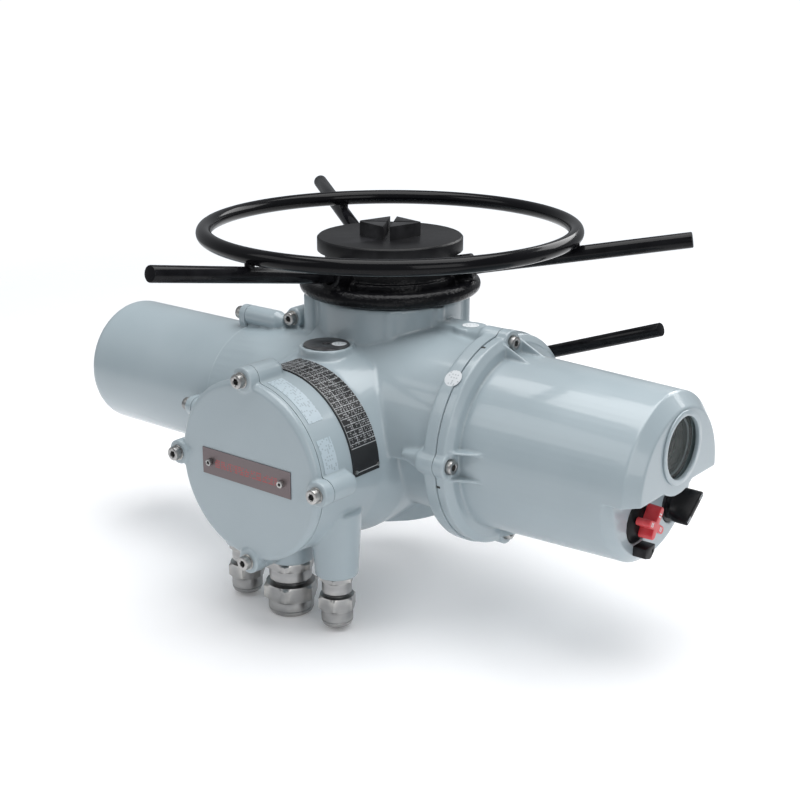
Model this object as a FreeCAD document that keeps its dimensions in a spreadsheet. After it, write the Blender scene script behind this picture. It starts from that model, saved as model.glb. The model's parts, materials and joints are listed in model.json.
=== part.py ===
import FreeCAD, Part
import os
import re
import Sketcher

# Motorized valve actuator: a worm-geared multi-turn drive with a hand wheel.
# The origin is the centre of the valve mounting face. +Z runs up the valve
# stem, +X points to the control cover and -Y to the terminal cover.

doc = FreeCAD.newDocument("ValveActuator")
sheet = doc.addObject("Spreadsheet::Sheet", "Sizes")

# Driving dimensions in millimetres and degrees: word, value, what it sizes.
sizes = [
    ("gap", 0.3, "clearance between pieces that only pass each other"),
    ("running", 0.1, "radial clearance of a shaft in its bearing"),
    ("wall", 8, "usual thickness of a cast wall"),
    # the three main axes
    ("drive_height", 108, "height of the worm, motor and control axes"),
    ("worm_offset", 57, "worm axis in front of the stem axis"),
    ("control_offset", 20, "control axis in front of the stem axis"),
    ("terminal_height", 92, "height of the terminal compartment axis"),
    # mounting base, an F12 pattern
    ("base_radius", 76.3, "outside of the base"),
    ("register_radius", 42.5, "locating recess in the mounting face"),
    ("register_depth", 3, "depth of the locating recess"),
    ("bolt_circle", 62.5, "radius of the mounting bolt circle"),
    ("bolt_radius", 5.1, "tapping size of an M12 mounting bolt"),
    ("bolt_depth", 24, "depth of the mounting holes"),
    # gear case
    ("body_radius", 98, "upper half of the main barrel"),
    ("lower_radius", 87, "lower half of the main barrel"),
    ("rib_height", 8, "belt rib under the upper half"),
    ("body_reach", 50, "main barrel behind the stem axis"),
    ("cavity_radius", 58, "gear chamber"),
    ("cavity_floor", 34, "floor of the gear chamber"),
    ("column_radius", 76.5, "column around the stem"),
    ("column_bore", 66, "inside of the column"),
    ("column_floor", 176, "ledge where the column bore starts"),
    ("column_top", 228, "top of the column"),
    ("cover_under", 206, "underside of the column cover"),
    ("cover_circle", 58, "screw circle of the column cover"),
    ("column_lug", 12, "screw lugs on the column"),
    ("rib_radius", 7.5, "slim rib on the front of the column"),
    ("rib_turn", 349, "direction of the slim rib"),
    ("side_lug", 11, "side screw lug"),
    ("side_lug_long", 44, "length of the side screw lug"),
    ("side_back", 92, "side screw lug towards the motor"),
    ("side_front", 52, "face of the side screw lug"),
    ("side_height", 197, "height of the side screw lug"),
    ("tab_radius", 17, "round tab on the barrel"),
    ("tab_across", 111, "tab towards the cover"),
    ("tab_front", 8, "tab in front of the stem axis"),
    ("tab_foot", 155, "lower end of the tab and its web"),
    ("tab_high", 58, "height of the tab and its web"),
    ("tap_deep", 18, "depth of the tapped cover holes"),
    ("lug_radius", 12.5, "screw lugs of the covers"),
    # control end
    ("control_seam", 158, "joint face of the control cover"),
    ("control_flange", 107.8, "radius of the control flange"),
    ("flange_thick", 15, "thickness of the control flange"),
    ("lug_back", 21, "screw lugs behind the control seam"),
    ("nose_long", 24, "tapered tails of the control screw lugs"),
    ("control_bore", 80, "inside of the control chamber"),
    ("control_floor", 68, "floor of the control chamber"),
    ("control_circle", 99.7, "radius of the control screw circle"),
    ("cover_root", 89, "control cover beside its flange"),
    ("cover_tip", 84, "control cover beside its end bevel"),
    ("cover_end", 358, "end face of the control cover"),
    ("bevel_long", 12, "end bevel along the axis"),
    ("bevel_deep", 13.5, "end bevel across the axis"),
    ("notch_top", 104, "upper edge of the selector notch"),
    ("notch_deep", 25, "face of the selector notch behind the end face"),
    ("notch_bevel", 8, "bevel around the face of the selector notch"),
    ("pocket_deep", 13, "selector pockets in the face of the notch"),
    # sight glass
    ("window_height", 33.8, "window centre above the control axis"),
    ("window_radius", 29.8, "clear opening of the window"),
    ("window_boss", 46, "boss around the window"),
    ("bezel_width", 5.5, "rim of the window bezel"),
    ("bezel_proud", 2, "bezel beyond the end face"),
    ("glass_thick", 6, "thickness of the window glass"),
    # selectors
    ("red_across", 46.5, "red selector in front of the stem axis"),
    ("red_height", 71, "height of the red selector"),
    ("red_collar", 21, "radius of the collar around the red selector"),
    ("red_proud", 12, "red selector's collar beyond its flange"),
    ("red_deep", 14, "grip of the red selector along its axis"),
    ("red_wide", 9, "width of the red selector's arms"),
    ("black_across", 17, "black selector behind the stem axis"),
    ("black_height", 70, "height of the black selector"),
    ("black_collar", 19, "radius of the collar around the black selector"),
    ("black_proud", 8, "black selector's collar beyond its flange"),
    ("black_deep", 24, "grip of the black selector along its axis"),
    ("black_wide", 10, "width of the black selector's grip"),
    ("collar_flange", 5, "flange of a selector collar in its pocket"),
    ("knob_shaft", 4, "shaft of a selector"),
    # terminal compartment
    ("terminal_radius", 91, "outside of the terminal compartment"),
    ("terminal_bore", 82, "inside of the terminal compartment"),
    ("terminal_seam", 211, "joint face of the terminal cover"),
    ("terminal_face", 220.3, "flat face of the terminal cover"),
    ("terminal_floor", 128, "bulkhead of the terminal compartment"),
    ("terminal_circle", 93.4, "radius of the terminal screw circle"),
    ("terminal_lug_long", 31, "screw lugs along the terminal compartment"),
    ("terminal_lug_tail", 8, "tapered tails of the terminal screw lugs"),
    ("terminal_pocket", 52, "inner pocket of the terminal compartment"),
    ("neck_radius", 100, "neck where it joins the main barrel"),
    ("flare_long", 34, "flare between the compartment and its neck"),
    ("neck_long", 53, "length of the neck"),
    ("pocket_long", 36, "depth of the inner pocket"),
    # cable entries
    ("entry_across", 162, "cable entries in front of the stem axis"),
    ("entry_pitch", 63, "spacing of the cable entries"),
    ("entry_drop", 17, "entry bosses below the mounting face"),
    ("small_boss", 21.5, "lower end of the outer entry bosses"),
    ("large_boss", 25, "lower end of the middle entry boss"),
    ("boss_top", 52, "upper end of the entry bosses"),
    ("boss_flare", 4.5, "how much the entry bosses widen upwards"),
    ("small_entry", 12.5, "bore of the outer entries, M25"),
    ("large_entry", 20, "bore of the middle entry, M40"),
    ("entry_top", 60, "upper end of the entry bores"),
    ("gland_core", 33, "gland bodies below their bosses"),
    ("gland_seal_top", 19, "cable seals below the bosses"),
    ("gland_seal_long", 14, "length of a cable seal"),
    # motor
    ("motor_seam", 150, "joint face of the motor"),
    ("motor_radius", 70.3, "outside of the motor housing"),
    ("motor_bore", 60, "inside of the motor housing"),
    ("motor_end", 345.5, "end of the motor housing"),
    ("motor_round", 11, "rounding of the motor end"),
    ("motor_circle", 84.5, "radius of the motor screw circle"),
    ("motor_lug", 10.5, "screw lugs of the motor"),
    ("motor_lug_long", 42, "screw lugs along the motor shoulder"),
    ("motor_lug_tail", 9, "tapered tails of the motor screw lugs"),
    ("shoulder_root", 40, "root of the motor shoulder behind the stem axis"),
    # drive train
    ("stem_bore", 24, "way through for the valve stem"),
    ("sleeve_radius", 30, "outside of the drive sleeve"),
    ("sleeve_top", 254, "upper end of the drive sleeve"),
    ("bearing_outer", 46, "outside of the base bearing"),
    ("bearing_floor", 18, "seat of the base bearing"),
    ("wheel_tip", 43.7, "worm wheel over its teeth"),
    ("wheel_width", 22, "worm wheel face width"),
    ("wheel_teeth", 44, "teeth of the worm wheel"),
    ("tooth_depth", 4.4, "depth of a tooth"),
    ("worm_radius", 13, "worm over its thread"),
    ("shaft_radius", 10, "worm and rotor shaft"),
    ("race_radius", 21, "outside of the shaft bearings"),
    ("race_width", 12, "width of the shaft bearings"),
    ("outboard_seat", 88, "seat of the outboard worm bearing"),
    ("worm_long", 60, "threaded length of the worm"),
    ("worm_lead", 6.3, "pitch of the worm thread"),
    ("rotor_radius", 42.5, "outside of the rotor"),
    ("rotor_long", 120, "length of the rotor"),
    ("stator_bore", 43.5, "inside of the stator"),
    ("stator_long", 130, "length of the stator"),
    ("end_bearing", 176, "far motor bearing behind the motor seam"),
    # clutch and lever
    ("clutch_radius", 50, "clutch ring"),
    ("clutch_bottom", 130, "clutch ring at rest"),
    ("clutch_height", 16, "height of the clutch ring"),
    ("lever_across", 15, "lever pivot beyond the stem axis"),
    ("lever_height", 122, "height of the lever pivot"),
    ("lever_plane", 105, "lever behind the stem axis"),
    ("lever_shaft", 8, "lever pivot shaft"),
    ("lever_rod", 7, "lever rod"),
    ("lever_long", 264, "lever from pivot to tip"),
    ("lever_tilt", 19.7, "rise of the lever at rest"),
    ("boss_back", 92, "face of the lever boss"),
    # hand wheel
    ("ring_radius", 192, "centre line of the hand wheel ring"),
    ("rod_radius", 8, "bar of the ring and arms"),
    ("ring_clear", 2.1, "ring above the arms, bridged by the welds"),
    ("arm_reach", 308, "reach of the arms"),
    ("arm_root", 60, "start of the arms in the hub"),
    ("arm_base", 245.8, "arm centre line at the stem axis"),
    ("arm_tilt", 9.84, "rise of the arms"),
    ("arm_turn", 25.5, "direction of the first arm"),
    ("rim_radius", 87, "hub rim centre line"),
    ("rim_tube", 8, "hub rim roundness"),
    ("rim_height", 240, "height of the hub rim"),
    ("hub_drum", 68, "raised drum of the hub"),
    ("hub_spigot", 40, "hub spigot in its bearing"),
    ("spigot_end", 164, "lower end of the hub spigot"),
    ("cap_seat", 276, "underside of the stem cap"),
    ("cap_radius", 76, "stem cap disc"),
    ("cap_thick", 14.3, "thickness of the stem cap disc"),
    ("cap_plug", 36, "threaded plug of the stem cap"),
    ("block_side", 47.5, "square boss on the stem cap"),
    ("block_high", 14, "height of the square boss"),
    ("block_turn", 77, "turn of the square boss"),
    # oil plug
    ("plug_across", -2, "oil plug beyond the stem axis"),
    ("plug_front", 99.5, "oil plug in front of the stem axis"),
    ("plug_top", 194.5, "top of the oil plug"),
    ("plug_radius", 23, "oil plug disc"),
    ("boss_radius", 28, "boss around the oil plug"),
    ("plate_wide", 40, "rating plate along the terminal axis"),
    ("plate_thick", 1.2, "thickness of the rating plate"),
    ("badge_wide", 118, "badge plate across"),
    ("badge_high", 27, "badge plate upright"),
    ("badge_pitch", 48, "badge screws from the middle"),
    ("badge_thick", 1, "badge plate"),
    # cover screws, M8 with socket heads
    ("screw_radius", 4, "shank of an M8 screw"),
    ("head_radius", 6.95, "head of an M8 screw"),
    ("head_high", 8, "height of an M8 screw head"),
    ("head_key", 6, "hexagon socket across flats"),
    ("screw_grip", 24, "M8 screw under its head"),
    ("seal_section", 1.5, "section radius of the seal rings"),
]
for row, (word, value, note) in enumerate(sizes, start=1):
    sheet.set(f"A{row}", word)
    sheet.set(f"B{row}", str(value))
    sheet.set(f"C{row}", note)
    sheet.setAlias(f"B{row}", word)
doc.recompute()
words = {word for word, value, note in sizes}
nodes = {}

turns = {
    "+X": FreeCAD.Rotation(FreeCAD.Vector(0, 1, 0), 90),
    "-X": FreeCAD.Rotation(FreeCAD.Vector(0, 1, 0), -90),
    "+Y": FreeCAD.Rotation(FreeCAD.Vector(1, 0, 0), -90),
    "-Y": FreeCAD.Rotation(FreeCAD.Vector(1, 0, 0), 90),
    "+Z": FreeCAD.Rotation(),
    "-Z": FreeCAD.Rotation(FreeCAD.Vector(1, 0, 0), 180),
}
opposite = {"+X": "-X", "-X": "+X", "+Y": "-Y", "-Y": "+Y", "+Z": "-Z", "-Z": "+Z"}


# ---- formulas, points and simple solids ----

def formula(text):
    """The text with every size word read from the sheet."""
    def named(found):
        word = found.group()
        return f"Sizes.{word}" if word in words else word
    return re.sub(r"[a-z]\w*", named, str(text))


def worth(text):
    """The number that a formula gives now."""
    return float(sheet.evalExpression(formula(text)))


def bind(piece, **properties):
    """Tie properties of a piece to formulas on the sheet."""
    for name, text in properties.items():
        piece.setExpression(name, formula(text))


def place(piece, at, turn):
    """Put a piece at three formulas, turned as given."""
    piece.Placement = FreeCAD.Placement(FreeCAD.Vector(), turn)
    for letter, text in zip("xyz", at):
        piece.setExpression(f"Placement.Base.{letter}", formula(text))
    return piece


def shift(point, along, distance):
    """A point moved along one axis."""
    index = "XYZ".index(along[1])
    moved = list(point)
    moved[index] = f"({point[index]}) {along[0]} ({distance})"
    return tuple(moved)


def around(axis, centre, radius, angle):
    """A point on a circle about an axis through the centre."""
    first, second = {"X": (1, 2), "Y": (0, 2), "Z": (0, 1)}[axis]
    point = list(centre)
    point[first] = f"({centre[first]}) + ({radius}) * cos({angle})"
    point[second] = f"({centre[second]}) + ({radius}) * sin({angle})"
    return tuple(point)


def cylinder(name, radius, length, at=("0", "0", "0"), along="+Z"):
    piece = doc.addObject("Part::Cylinder", name)
    bind(piece, Radius=radius, Height=length)
    return place(piece, at, turns[along])


def cone(name, near, far, length, at=("0", "0", "0"), along="+Z"):
    piece = doc.addObject("Part::Cone", name)
    bind(piece, Radius1=near, Radius2=far, Height=length)
    return place(piece, at, turns[along])


def torus(name, ring, tube, at=("0", "0", "0"), along="+Z"):
    piece = doc.addObject("Part::Torus", name)
    bind(piece, Radius1=ring, Radius2=tube)
    return place(piece, at, turns[along])


def box(name, long, wide, high, at, turn=FreeCAD.Rotation()):
    piece = doc.addObject("Part::Box", name)
    bind(piece, Length=long, Width=wide, Height=high)
    return place(piece, at, turn)


def hexagon(name, flats, length, at, along="+Z"):
    piece = doc.addObject("Part::Prism", name)
    piece.Polygon = 6
    bind(piece, Circumradius=f"({flats}) / 2 / cos(30)", Height=length)
    return place(piece, at, turns[along])


# ---- ways to join and shape pieces ----

def fuse(name, *pieces):
    piece = doc.addObject("Part::MultiFuse", name)
    piece.Shapes = list(pieces)
    piece.Refine = True
    return piece


def cut(name, base, *tools):
    piece = doc.addObject("Part::Cut", name)
    piece.Base = base
    piece.Tool = tools[0] if len(tools) == 1 else fuse(name + "_tools", *tools)
    piece.Refine = True
    return piece


def overlap(name, first, second):
    piece = doc.addObject("Part::Common", name)
    piece.Base = first
    piece.Tool = second
    return piece


def group(name, pieces):
    """Separate solids kept in one piece, such as a set of screws."""
    piece = doc.addObject("Part::Compound", name)
    piece.Links = list(pieces)
    return piece


def tube(name, inner, outer, length, at=("0", "0", "0"), along="+Z"):
    bore = cylinder(name + "_bore", inner, length, at, along)
    return cut(name, cylinder(name + "_outside", outer, length, at, along), bore)


def turned(name, corners, at=("0", "0", "0"), along="+Z"):
    """A body turned about its own axis from corners of radius and height."""
    body = doc.addObject("PartDesign::Body", name)
    plane = next(flat for flat in body.Origin.OriginFeatures if flat.Role == "XZ_Plane")
    sketch = body.newObject("Sketcher::SketchObject", name + "_profile")
    sketch.AttachmentSupport = (plane, [""])
    sketch.MapMode = "FlatFace"
    points = [FreeCAD.Vector(worth(out), worth(up), 0) for out, up in corners]
    for start, end in zip(points, points[1:] + points[:1]):
        sketch.addGeometry(Part.LineSegment(start, end), False)
    for line, (out, up) in enumerate(corners):
        following = (line + 1) % len(corners)
        sketch.addConstraint(Sketcher.Constraint("Coincident", line, 2, following, 1))
        for kind, text in (("DistanceX", out), ("DistanceY", up)):
            value = worth(text)
            index = sketch.addConstraint(Sketcher.Constraint(kind, -1, 1, line, 1, value))
            sketch.setExpression(f"Constraints[{index}]", formula(text))
    revolution = body.newObject("PartDesign::Revolution", name + "_turning")
    revolution.Profile = sketch
    revolution.ReferenceAxis = (sketch, ["V_Axis"])
    revolution.Angle = 360
    return place(body, at, turns[along])


def rounded(body, radius, edge_radius, edge_height):
    """Round one turned edge, found by its own radius and height in the body."""
    doc.recompute()
    base = body.Tip
    shape = base.Shape
    reach = worth(edge_radius)
    height = worth(edge_height)
    names = []
    for index, edge in enumerate(shape.Edges, start=1):
        middle = edge.valueAt((edge.FirstParameter + edge.LastParameter) / 2)
        far = (middle.x ** 2 + middle.y ** 2) ** 0.5
        if edge.Closed and abs(far - reach) < 0.01 and abs(middle.z - height) < 0.01:
            names.append(f"Edge{index}")
    fillet = body.newObject("PartDesign::Fillet", body.Name + "_round")
    fillet.Base = (base, names)
    bind(fillet, Radius=radius)
    body.Tip = fillet
    return body


def node(name, piece):
    """Name a finished sub-part after its file."""
    piece.Label = name
    nodes[name] = piece
    return piece


def cap_screw(name, seat, away, grip="screw_grip", scale="1"):
    """A socket-head screw whose head sits at the seat and points away."""
    head = f"head_high * {scale}"
    shank = cylinder(name + "_shank", f"screw_radius * {scale}", grip, seat, opposite[away])
    cap = cylinder(name + "_cap", f"head_radius * {scale}", head, seat, away)
    socket_at = shift(seat, away, f"{head} / 2")
    socket = hexagon(name + "_socket", f"head_key * {scale}", f"{head} / 2", socket_at, away)
    return cut(name, fuse(name + "_blank", shank, cap), socket)


def seal_ring(name, ring, at, along):
    """A round-section seal whose groove is split between two flat faces."""
    return torus(name, ring, "seal_section", at, along)


# ---- shared axes ----

stem_axis = ("0", "0", "0")
worm_axis = ("0", "-worm_offset", "drive_height")
control_axis = ("0", "-control_offset", "drive_height")
terminal_axis = ("0", "0", "terminal_height")
motor_face = shift(worm_axis, "-X", "motor_seam")
control_face = shift(control_axis, "+X", "control_seam")
terminal_face_at = shift(terminal_axis, "-Y", "terminal_seam")
oil_axis = ("plug_across", "-plug_front", "0")
side_at = ("-side_back", "-side_front", "side_height")
lever_axis = ("lever_across", "0", "lever_height")
ring_centre = ("0", "0", "arm_base + ring_radius * tan(arm_tilt) + 2 * rod_radius / cos(arm_tilt)"
               " + ring_clear")
notch_face = "(cover_end - notch_deep)"
pocket_floor = "(cover_end - notch_deep - pocket_deep)"
quarters = (0, 90, 180, 270)


# ---- gear case ----

def barrel_half(name, radius, low, high):
    """A lengthwise slice of the main barrel between two heights."""
    start = shift(control_axis, "-X", "body_reach")
    long = "body_reach + control_seam - flange_thick"
    whole = cylinder(name + "_round", radius, long, start, "+X")
    corner = ("-body_reach", f"-control_offset - {radius}", low)
    slice_box = box(name + "_slice", long, f"2 * {radius}", f"({high}) - ({low})", corner)
    return overlap(name, whole, slice_box)


def case_outside():
    """Everything that the casting adds, before its chambers."""
    top = "drive_height + body_radius"
    pieces = [
        cylinder("case_base", "base_radius", "drive_height"),
        barrel_half("case_upper", "body_radius", "drive_height - rib_height", top),
        barrel_half("case_lower", "lower_radius", "drive_height - lower_radius", "drive_height"),
        cylinder("case_column", "column_radius", "column_top - drive_height",
                 ("0", "0", "drive_height")),
    ]
    # the tapering shoulder that carries the motor
    shoulder_long = "motor_seam - shoulder_root"
    pieces.append(cone("case_shoulder", "motor_radius + 2", "motor_radius + 13",
                       shoulder_long, motor_face, "+X"))
    # terminal compartment, its flared neck and the pad for the rating plate
    flare_at = shift(terminal_axis, "-Y", "terminal_floor - 1")
    neck_at = shift(flare_at, "+Y", "flare_long")
    pieces.append(cylinder("case_terminal", "terminal_radius", "terminal_seam - terminal_floor + 1",
                           terminal_face_at, "+Y"))
    pieces.append(cone("case_flare", "terminal_radius", "neck_radius", "flare_long", flare_at, "+Y"))
    pieces.append(cylinder("case_neck", "neck_radius", "neck_long", neck_at, "+Y"))
    # control flange with four screw lugs that run back along it
    flange_at = shift(control_face, "-X", "flange_thick")
    pieces.append(cylinder("case_flange", "control_flange", "flange_thick", flange_at, "+X"))
    for angle in quarters:
        lug_at = around("X", shift(control_face, "-X", "lug_back"), "control_circle", angle)
        nose_at = shift(lug_at, "-X", "nose_long")
        pieces.append(cylinder("case_control_lug", "lug_radius", "lug_back", lug_at, "+X"))
        pieces.append(cone("case_control_nose", "lug_radius / 3", "lug_radius - 2", "nose_long",
                           nose_at, "+X"))
    # terminal and motor screw lugs
    for angle in quarters:
        lug_at = around("Y", terminal_face_at, "terminal_circle", angle)
        nose_at = shift(lug_at, "+Y", "terminal_lug_long")
        pieces.append(cylinder("case_terminal_lug", "lug_radius", "terminal_lug_long",
                               lug_at, "+Y"))
        pieces.append(cone("case_terminal_nose", "lug_radius", "lug_radius / 2", "terminal_lug_tail",
                           nose_at, "+Y"))
        lug_at = around("X", motor_face, "motor_circle", angle)
        pieces.append(cylinder("case_motor_lug", "motor_lug", "motor_lug_long", lug_at, "+X"))
        pieces.append(cone("case_motor_nose", "motor_lug", "motor_lug / 2", "motor_lug_tail",
                           shift(lug_at, "+X", "motor_lug_long"), "+X"))
    # column lugs and the slim rib on its front
    for angle, out in ((38.5, "72"), (218.5, "79"), (128.5, "72"), (308.5, "66")):
        lug_at = around("Z", ("0", "0", "drive_height"), out, angle)
        pieces.append(cylinder("case_column_lug", "column_lug",
                               "column_top - drive_height", lug_at))
    rib_at = around("Z", ("0", "0", "drive_height"), "column_radius - 2", "rib_turn")
    pieces.append(cylinder("case_column_rib", "rib_radius", "column_top - drive_height", rib_at))
    # oil plug boss, side screw lug, sticker tab and lever boss
    pieces.append(cylinder("case_oil_boss", "boss_radius", "plug_top - 1 - drive_height",
                           (oil_axis[0], oil_axis[1], "drive_height")))
    pieces.append(cylinder("case_side_lug", "side_lug", "side_lug_long", side_at, "+Y"))
    pieces.append(box("case_side_web", "40", "30", "70",
                      ("-side_back", "-side_front + 7", "side_height - 67")))
    pieces.append(cylinder("case_tab", "tab_radius", "tab_high",
                           ("tab_across", "-tab_front", "tab_foot")))
    pieces.append(box("case_tab_web", "60", "26", "tab_high",
                      ("tab_across - 60", "-tab_front - 12", "tab_foot")))
    pieces.append(cylinder("case_lever_boss", "19", "boss_back - 40",
                           shift(lever_axis, "+Y", "40"), "+Y"))
    # conduit bosses under the terminal compartment
    for side, low in ((-1, "small_boss"), (0, "large_boss"), (1, "small_boss")):
        boss_at = (f"{side} * entry_pitch", "-entry_across", "-entry_drop")
        pieces.append(cone("case_entry_boss", low, f"{low} + boss_flare", "entry_drop + boss_top",
                           boss_at))
    return fuse("case_outside", *pieces)


def case_chambers():
    """Everything that the casting leaves open."""
    pieces = [
        cylinder("case_gear_chamber", "cavity_radius", "column_floor - cavity_floor + 1",
                 ("0", "0", "cavity_floor")),
        cylinder("case_column_bore", "column_bore", "column_top - column_floor",
                 ("0", "0", "column_floor")),
        cylinder("case_register", "register_radius", "register_depth"),
        cylinder("case_stem_way", "sleeve_radius + 4", "bearing_floor + 1"),
        cylinder("case_bearing_seat", "bearing_outer", "cavity_floor - bearing_floor + 1",
                 ("0", "0", "bearing_floor")),
    ]
    # terminal chamber with its smaller inner pocket
    pieces.append(cylinder("case_terminal_chamber", "terminal_bore",
                           "terminal_seam - terminal_floor", terminal_face_at, "+Y"))
    pieces.append(cylinder("case_terminal_pocket", "terminal_pocket", "pocket_long",
                           shift(terminal_axis, "-Y", "terminal_floor + 1"), "+Y"))
    # control chamber around the outboard bearing post
    chamber = cylinder("case_control_chamber", "control_bore", "control_seam - control_floor",
                       shift(control_axis, "+X", "control_floor"), "+X")
    post = cylinder("case_bearing_post", "race_radius + wall", "34",
                    shift(worm_axis, "+X", "control_floor"), "+X")
    pieces.append(cut("case_control_space", chamber, post))
    # worm tunnel, shaft bearings and motor spigot bore
    pieces.append(cylinder("case_worm_tunnel", "worm_radius + 4", "motor_seam + outboard_seat",
                           motor_face, "+X"))
    pieces.append(cylinder("case_outboard_seat", "race_radius", "race_width",
                           shift(worm_axis, "+X", "outboard_seat"), "+X"))
    pieces.append(cylinder("case_outboard_way", "race_radius - 3", "3",
                           shift(worm_axis, "+X", "outboard_seat + race_width - 1"), "+X"))
    pieces.append(cylinder("case_motor_seat", "race_radius", "race_width + 8",
                           motor_face, "+X"))
    pieces.append(cylinder("case_motor_recess", "motor_bore", "8", motor_face, "+X"))
    # mounting bolts, on the diagonals
    for angle in (45, 135, 225, 315):
        pieces.append(cylinder("case_bolt", "bolt_radius", "bolt_depth",
                               around("Z", stem_axis, "bolt_circle", angle)))
    # screw holes of the covers
    for angle in quarters:
        hole_at = around("X", control_face, "control_circle", angle)
        pieces.append(cylinder("case_control_hole", "screw_radius", "tap_deep", hole_at, "-X"))
        hole_at = around("Y", terminal_face_at, "terminal_circle", angle)
        pieces.append(cylinder("case_terminal_hole", "screw_radius", "tap_deep", hole_at, "+Y"))
        hole_at = around("X", motor_face, "motor_circle", angle)
        pieces.append(cylinder("case_motor_hole", "screw_radius", "tap_deep", hole_at, "+X"))
    pieces.append(cylinder("case_side_hole", "screw_radius", "tap_deep", side_at, "+Y"))
    # oil way, lever bore and cable entries
    pieces.append(cylinder("case_oil_seat", "plug_radius + gap", "6",
                           (oil_axis[0], oil_axis[1], "plug_top - 6")))
    pieces.append(cylinder("case_oil_thread", "14", "40",
                           (oil_axis[0], oil_axis[1], "plug_top - 46")))
    pieces.append(cylinder("case_oil_way", "7", "plug_front - 40",
                           (oil_axis[0], oil_axis[1], "plug_top - 38"), "+Y"))
    pieces.append(cylinder("case_lever_bore", "lever_shaft + 3.5", "boss_back - 40",
                           shift(lever_axis, "+Y", "40"), "+Y"))
    for side, thread in ((-1, "small_entry"), (0, "large_entry"), (1, "small_entry")):
        entry_at = (f"{side} * entry_pitch", "-entry_across", "-entry_drop")
        pieces.append(cylinder("case_entry", thread, "entry_drop + entry_top", entry_at))
    # seal grooves in the two cover faces
    pieces.append(seal_ring("case_terminal_groove", "terminal_bore + 4.5", terminal_face_at, "-Y"))
    pieces.append(seal_ring("case_control_groove", "control_bore + 6", control_face, "+X"))
    return fuse("case_chambers", *pieces)


# the casting is kept as two sub-parts that meet at the terminal bulkhead
casting = cut("gear_case_casting", case_outside(), case_chambers())
front_round = cylinder("front_round", "terminal_radius + 4", "terminal_seam - terminal_floor + 1",
                       shift(terminal_axis, "-Y", "terminal_floor"), "-Y")
front_lugs = cylinder("front_lugs", "terminal_circle + lug_radius + 2",
                      "terminal_lug_long + terminal_lug_tail + 2",
                      shift(terminal_face_at, "-Y", "1"), "+Y")
front_half = "(entry_pitch + small_boss + boss_flare + 2)"
front_entries = box("front_entries", f"2 * {front_half}",
                    "terminal_seam - terminal_floor + 1", "entry_drop + boss_top + 2",
                    (f"-{front_half}", "-terminal_seam - 1", "-entry_drop - 1"))
front = fuse("case_front", front_round, front_lugs, front_entries)
node("gear_case", cut("gear_case_rear", casting, front))
node("terminal_case", overlap("gear_case_front", casting, front))


# ---- column cover and the bearings around the stem ----

cover_blank = turned("column_cover_blank", [
    ("hub_spigot + 8", "cover_under"),
    ("column_bore - gap / 3", "cover_under"),
    ("column_bore - gap / 3", "column_top - 2"),
    ("hub_spigot + 4", "column_top - 2"),
    ("hub_spigot + 4", "column_top - 6"),
    ("hub_spigot + 8", "column_top - 6"),
])
cover_holes = [cylinder("column_cover_hole", "3", "20",
                        around("Z", ("0", "0", "column_top - 22"), "cover_circle", angle))
               for angle in quarters]
node("column_cover", cut("column_cover_disc", cover_blank, *cover_holes))
cover_screws = [cap_screw("column_cover_screw",
                          around("Z", ("0", "0", "column_top - 2"), "cover_circle", angle),
                          "+Z", "18", "0.5") for angle in quarters]
node("column_cover_screws", group("column_cover_screw_set", cover_screws))
node("handwheel_bearing", tube("handwheel_bearing_ring", "hub_spigot + running",
                               "hub_spigot + 8", "16", ("0", "0", "cover_under")))
node("base_bearing", tube("base_bearing_ring", "sleeve_radius + running", "bearing_outer",
                          "cavity_floor - bearing_floor", ("0", "0", "bearing_floor")))
node("base_seal", tube("base_seal_ring", "sleeve_radius + running", "sleeve_radius + 4",
                       "8", ("0", "0", "6")))


# ---- drive sleeve, stem nut and worm wheel ----

node("drive_sleeve", turned("drive_sleeve_tube", [
    ("stem_bore + 2", "4"),
    ("sleeve_radius", "4"),
    ("sleeve_radius", "cavity_floor + gap"),
    ("sleeve_radius + 8", "cavity_floor + gap"),
    ("sleeve_radius + 8", "cavity_floor + 10"),
    ("sleeve_radius", "cavity_floor + 10"),
    ("sleeve_radius", "sleeve_top"),
    ("stem_bore + 2", "sleeve_top"),
]))
node("stem_nut", tube("stem_nut_bush", "stem_bore", "stem_bore + 2", "70", ("0", "0", "8")))
wheel_bottom = "drive_height - wheel_width / 2"
wheel_blank = tube("worm_wheel_blank", "sleeve_radius", "wheel_tip", "wheel_width",
                   ("0", "0", wheel_bottom))
tooth_count = int(worth("wheel_teeth"))
tooth_gaps = []
for tooth in range(tooth_count):
    angle = 360 / tooth_count * (tooth + 0.5)
    gap_at = around("Z", ("0", "0", wheel_bottom), "wheel_tip + 0.4", angle)
    tooth_gaps.append(cone("worm_wheel_gap", "tooth_depth / 2.2", "tooth_depth / 2.2 + 0.01",
                           "wheel_width", gap_at))
node("worm_wheel", cut("worm_wheel_gear", wheel_blank, *tooth_gaps))


# ---- clutch ring that the lever lifts ----

clutch_blank = tube("clutch_blank", "sleeve_radius + running", "clutch_radius",
                    "clutch_height", ("0", "0", "clutch_bottom"))
clutch_slots = []
for angle in range(0, 360, 60):
    slot_at = around("Z", ("0", "0", "clutch_bottom + clutch_height - 4"), "41", angle)
    clutch_slots.append(cylinder("clutch_slot", "4", "4", slot_at))
node("clutch_ring", cut("clutch_ring_dogs", clutch_blank, *clutch_slots))


# ---- worm shaft, rotor and their bearings ----

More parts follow.
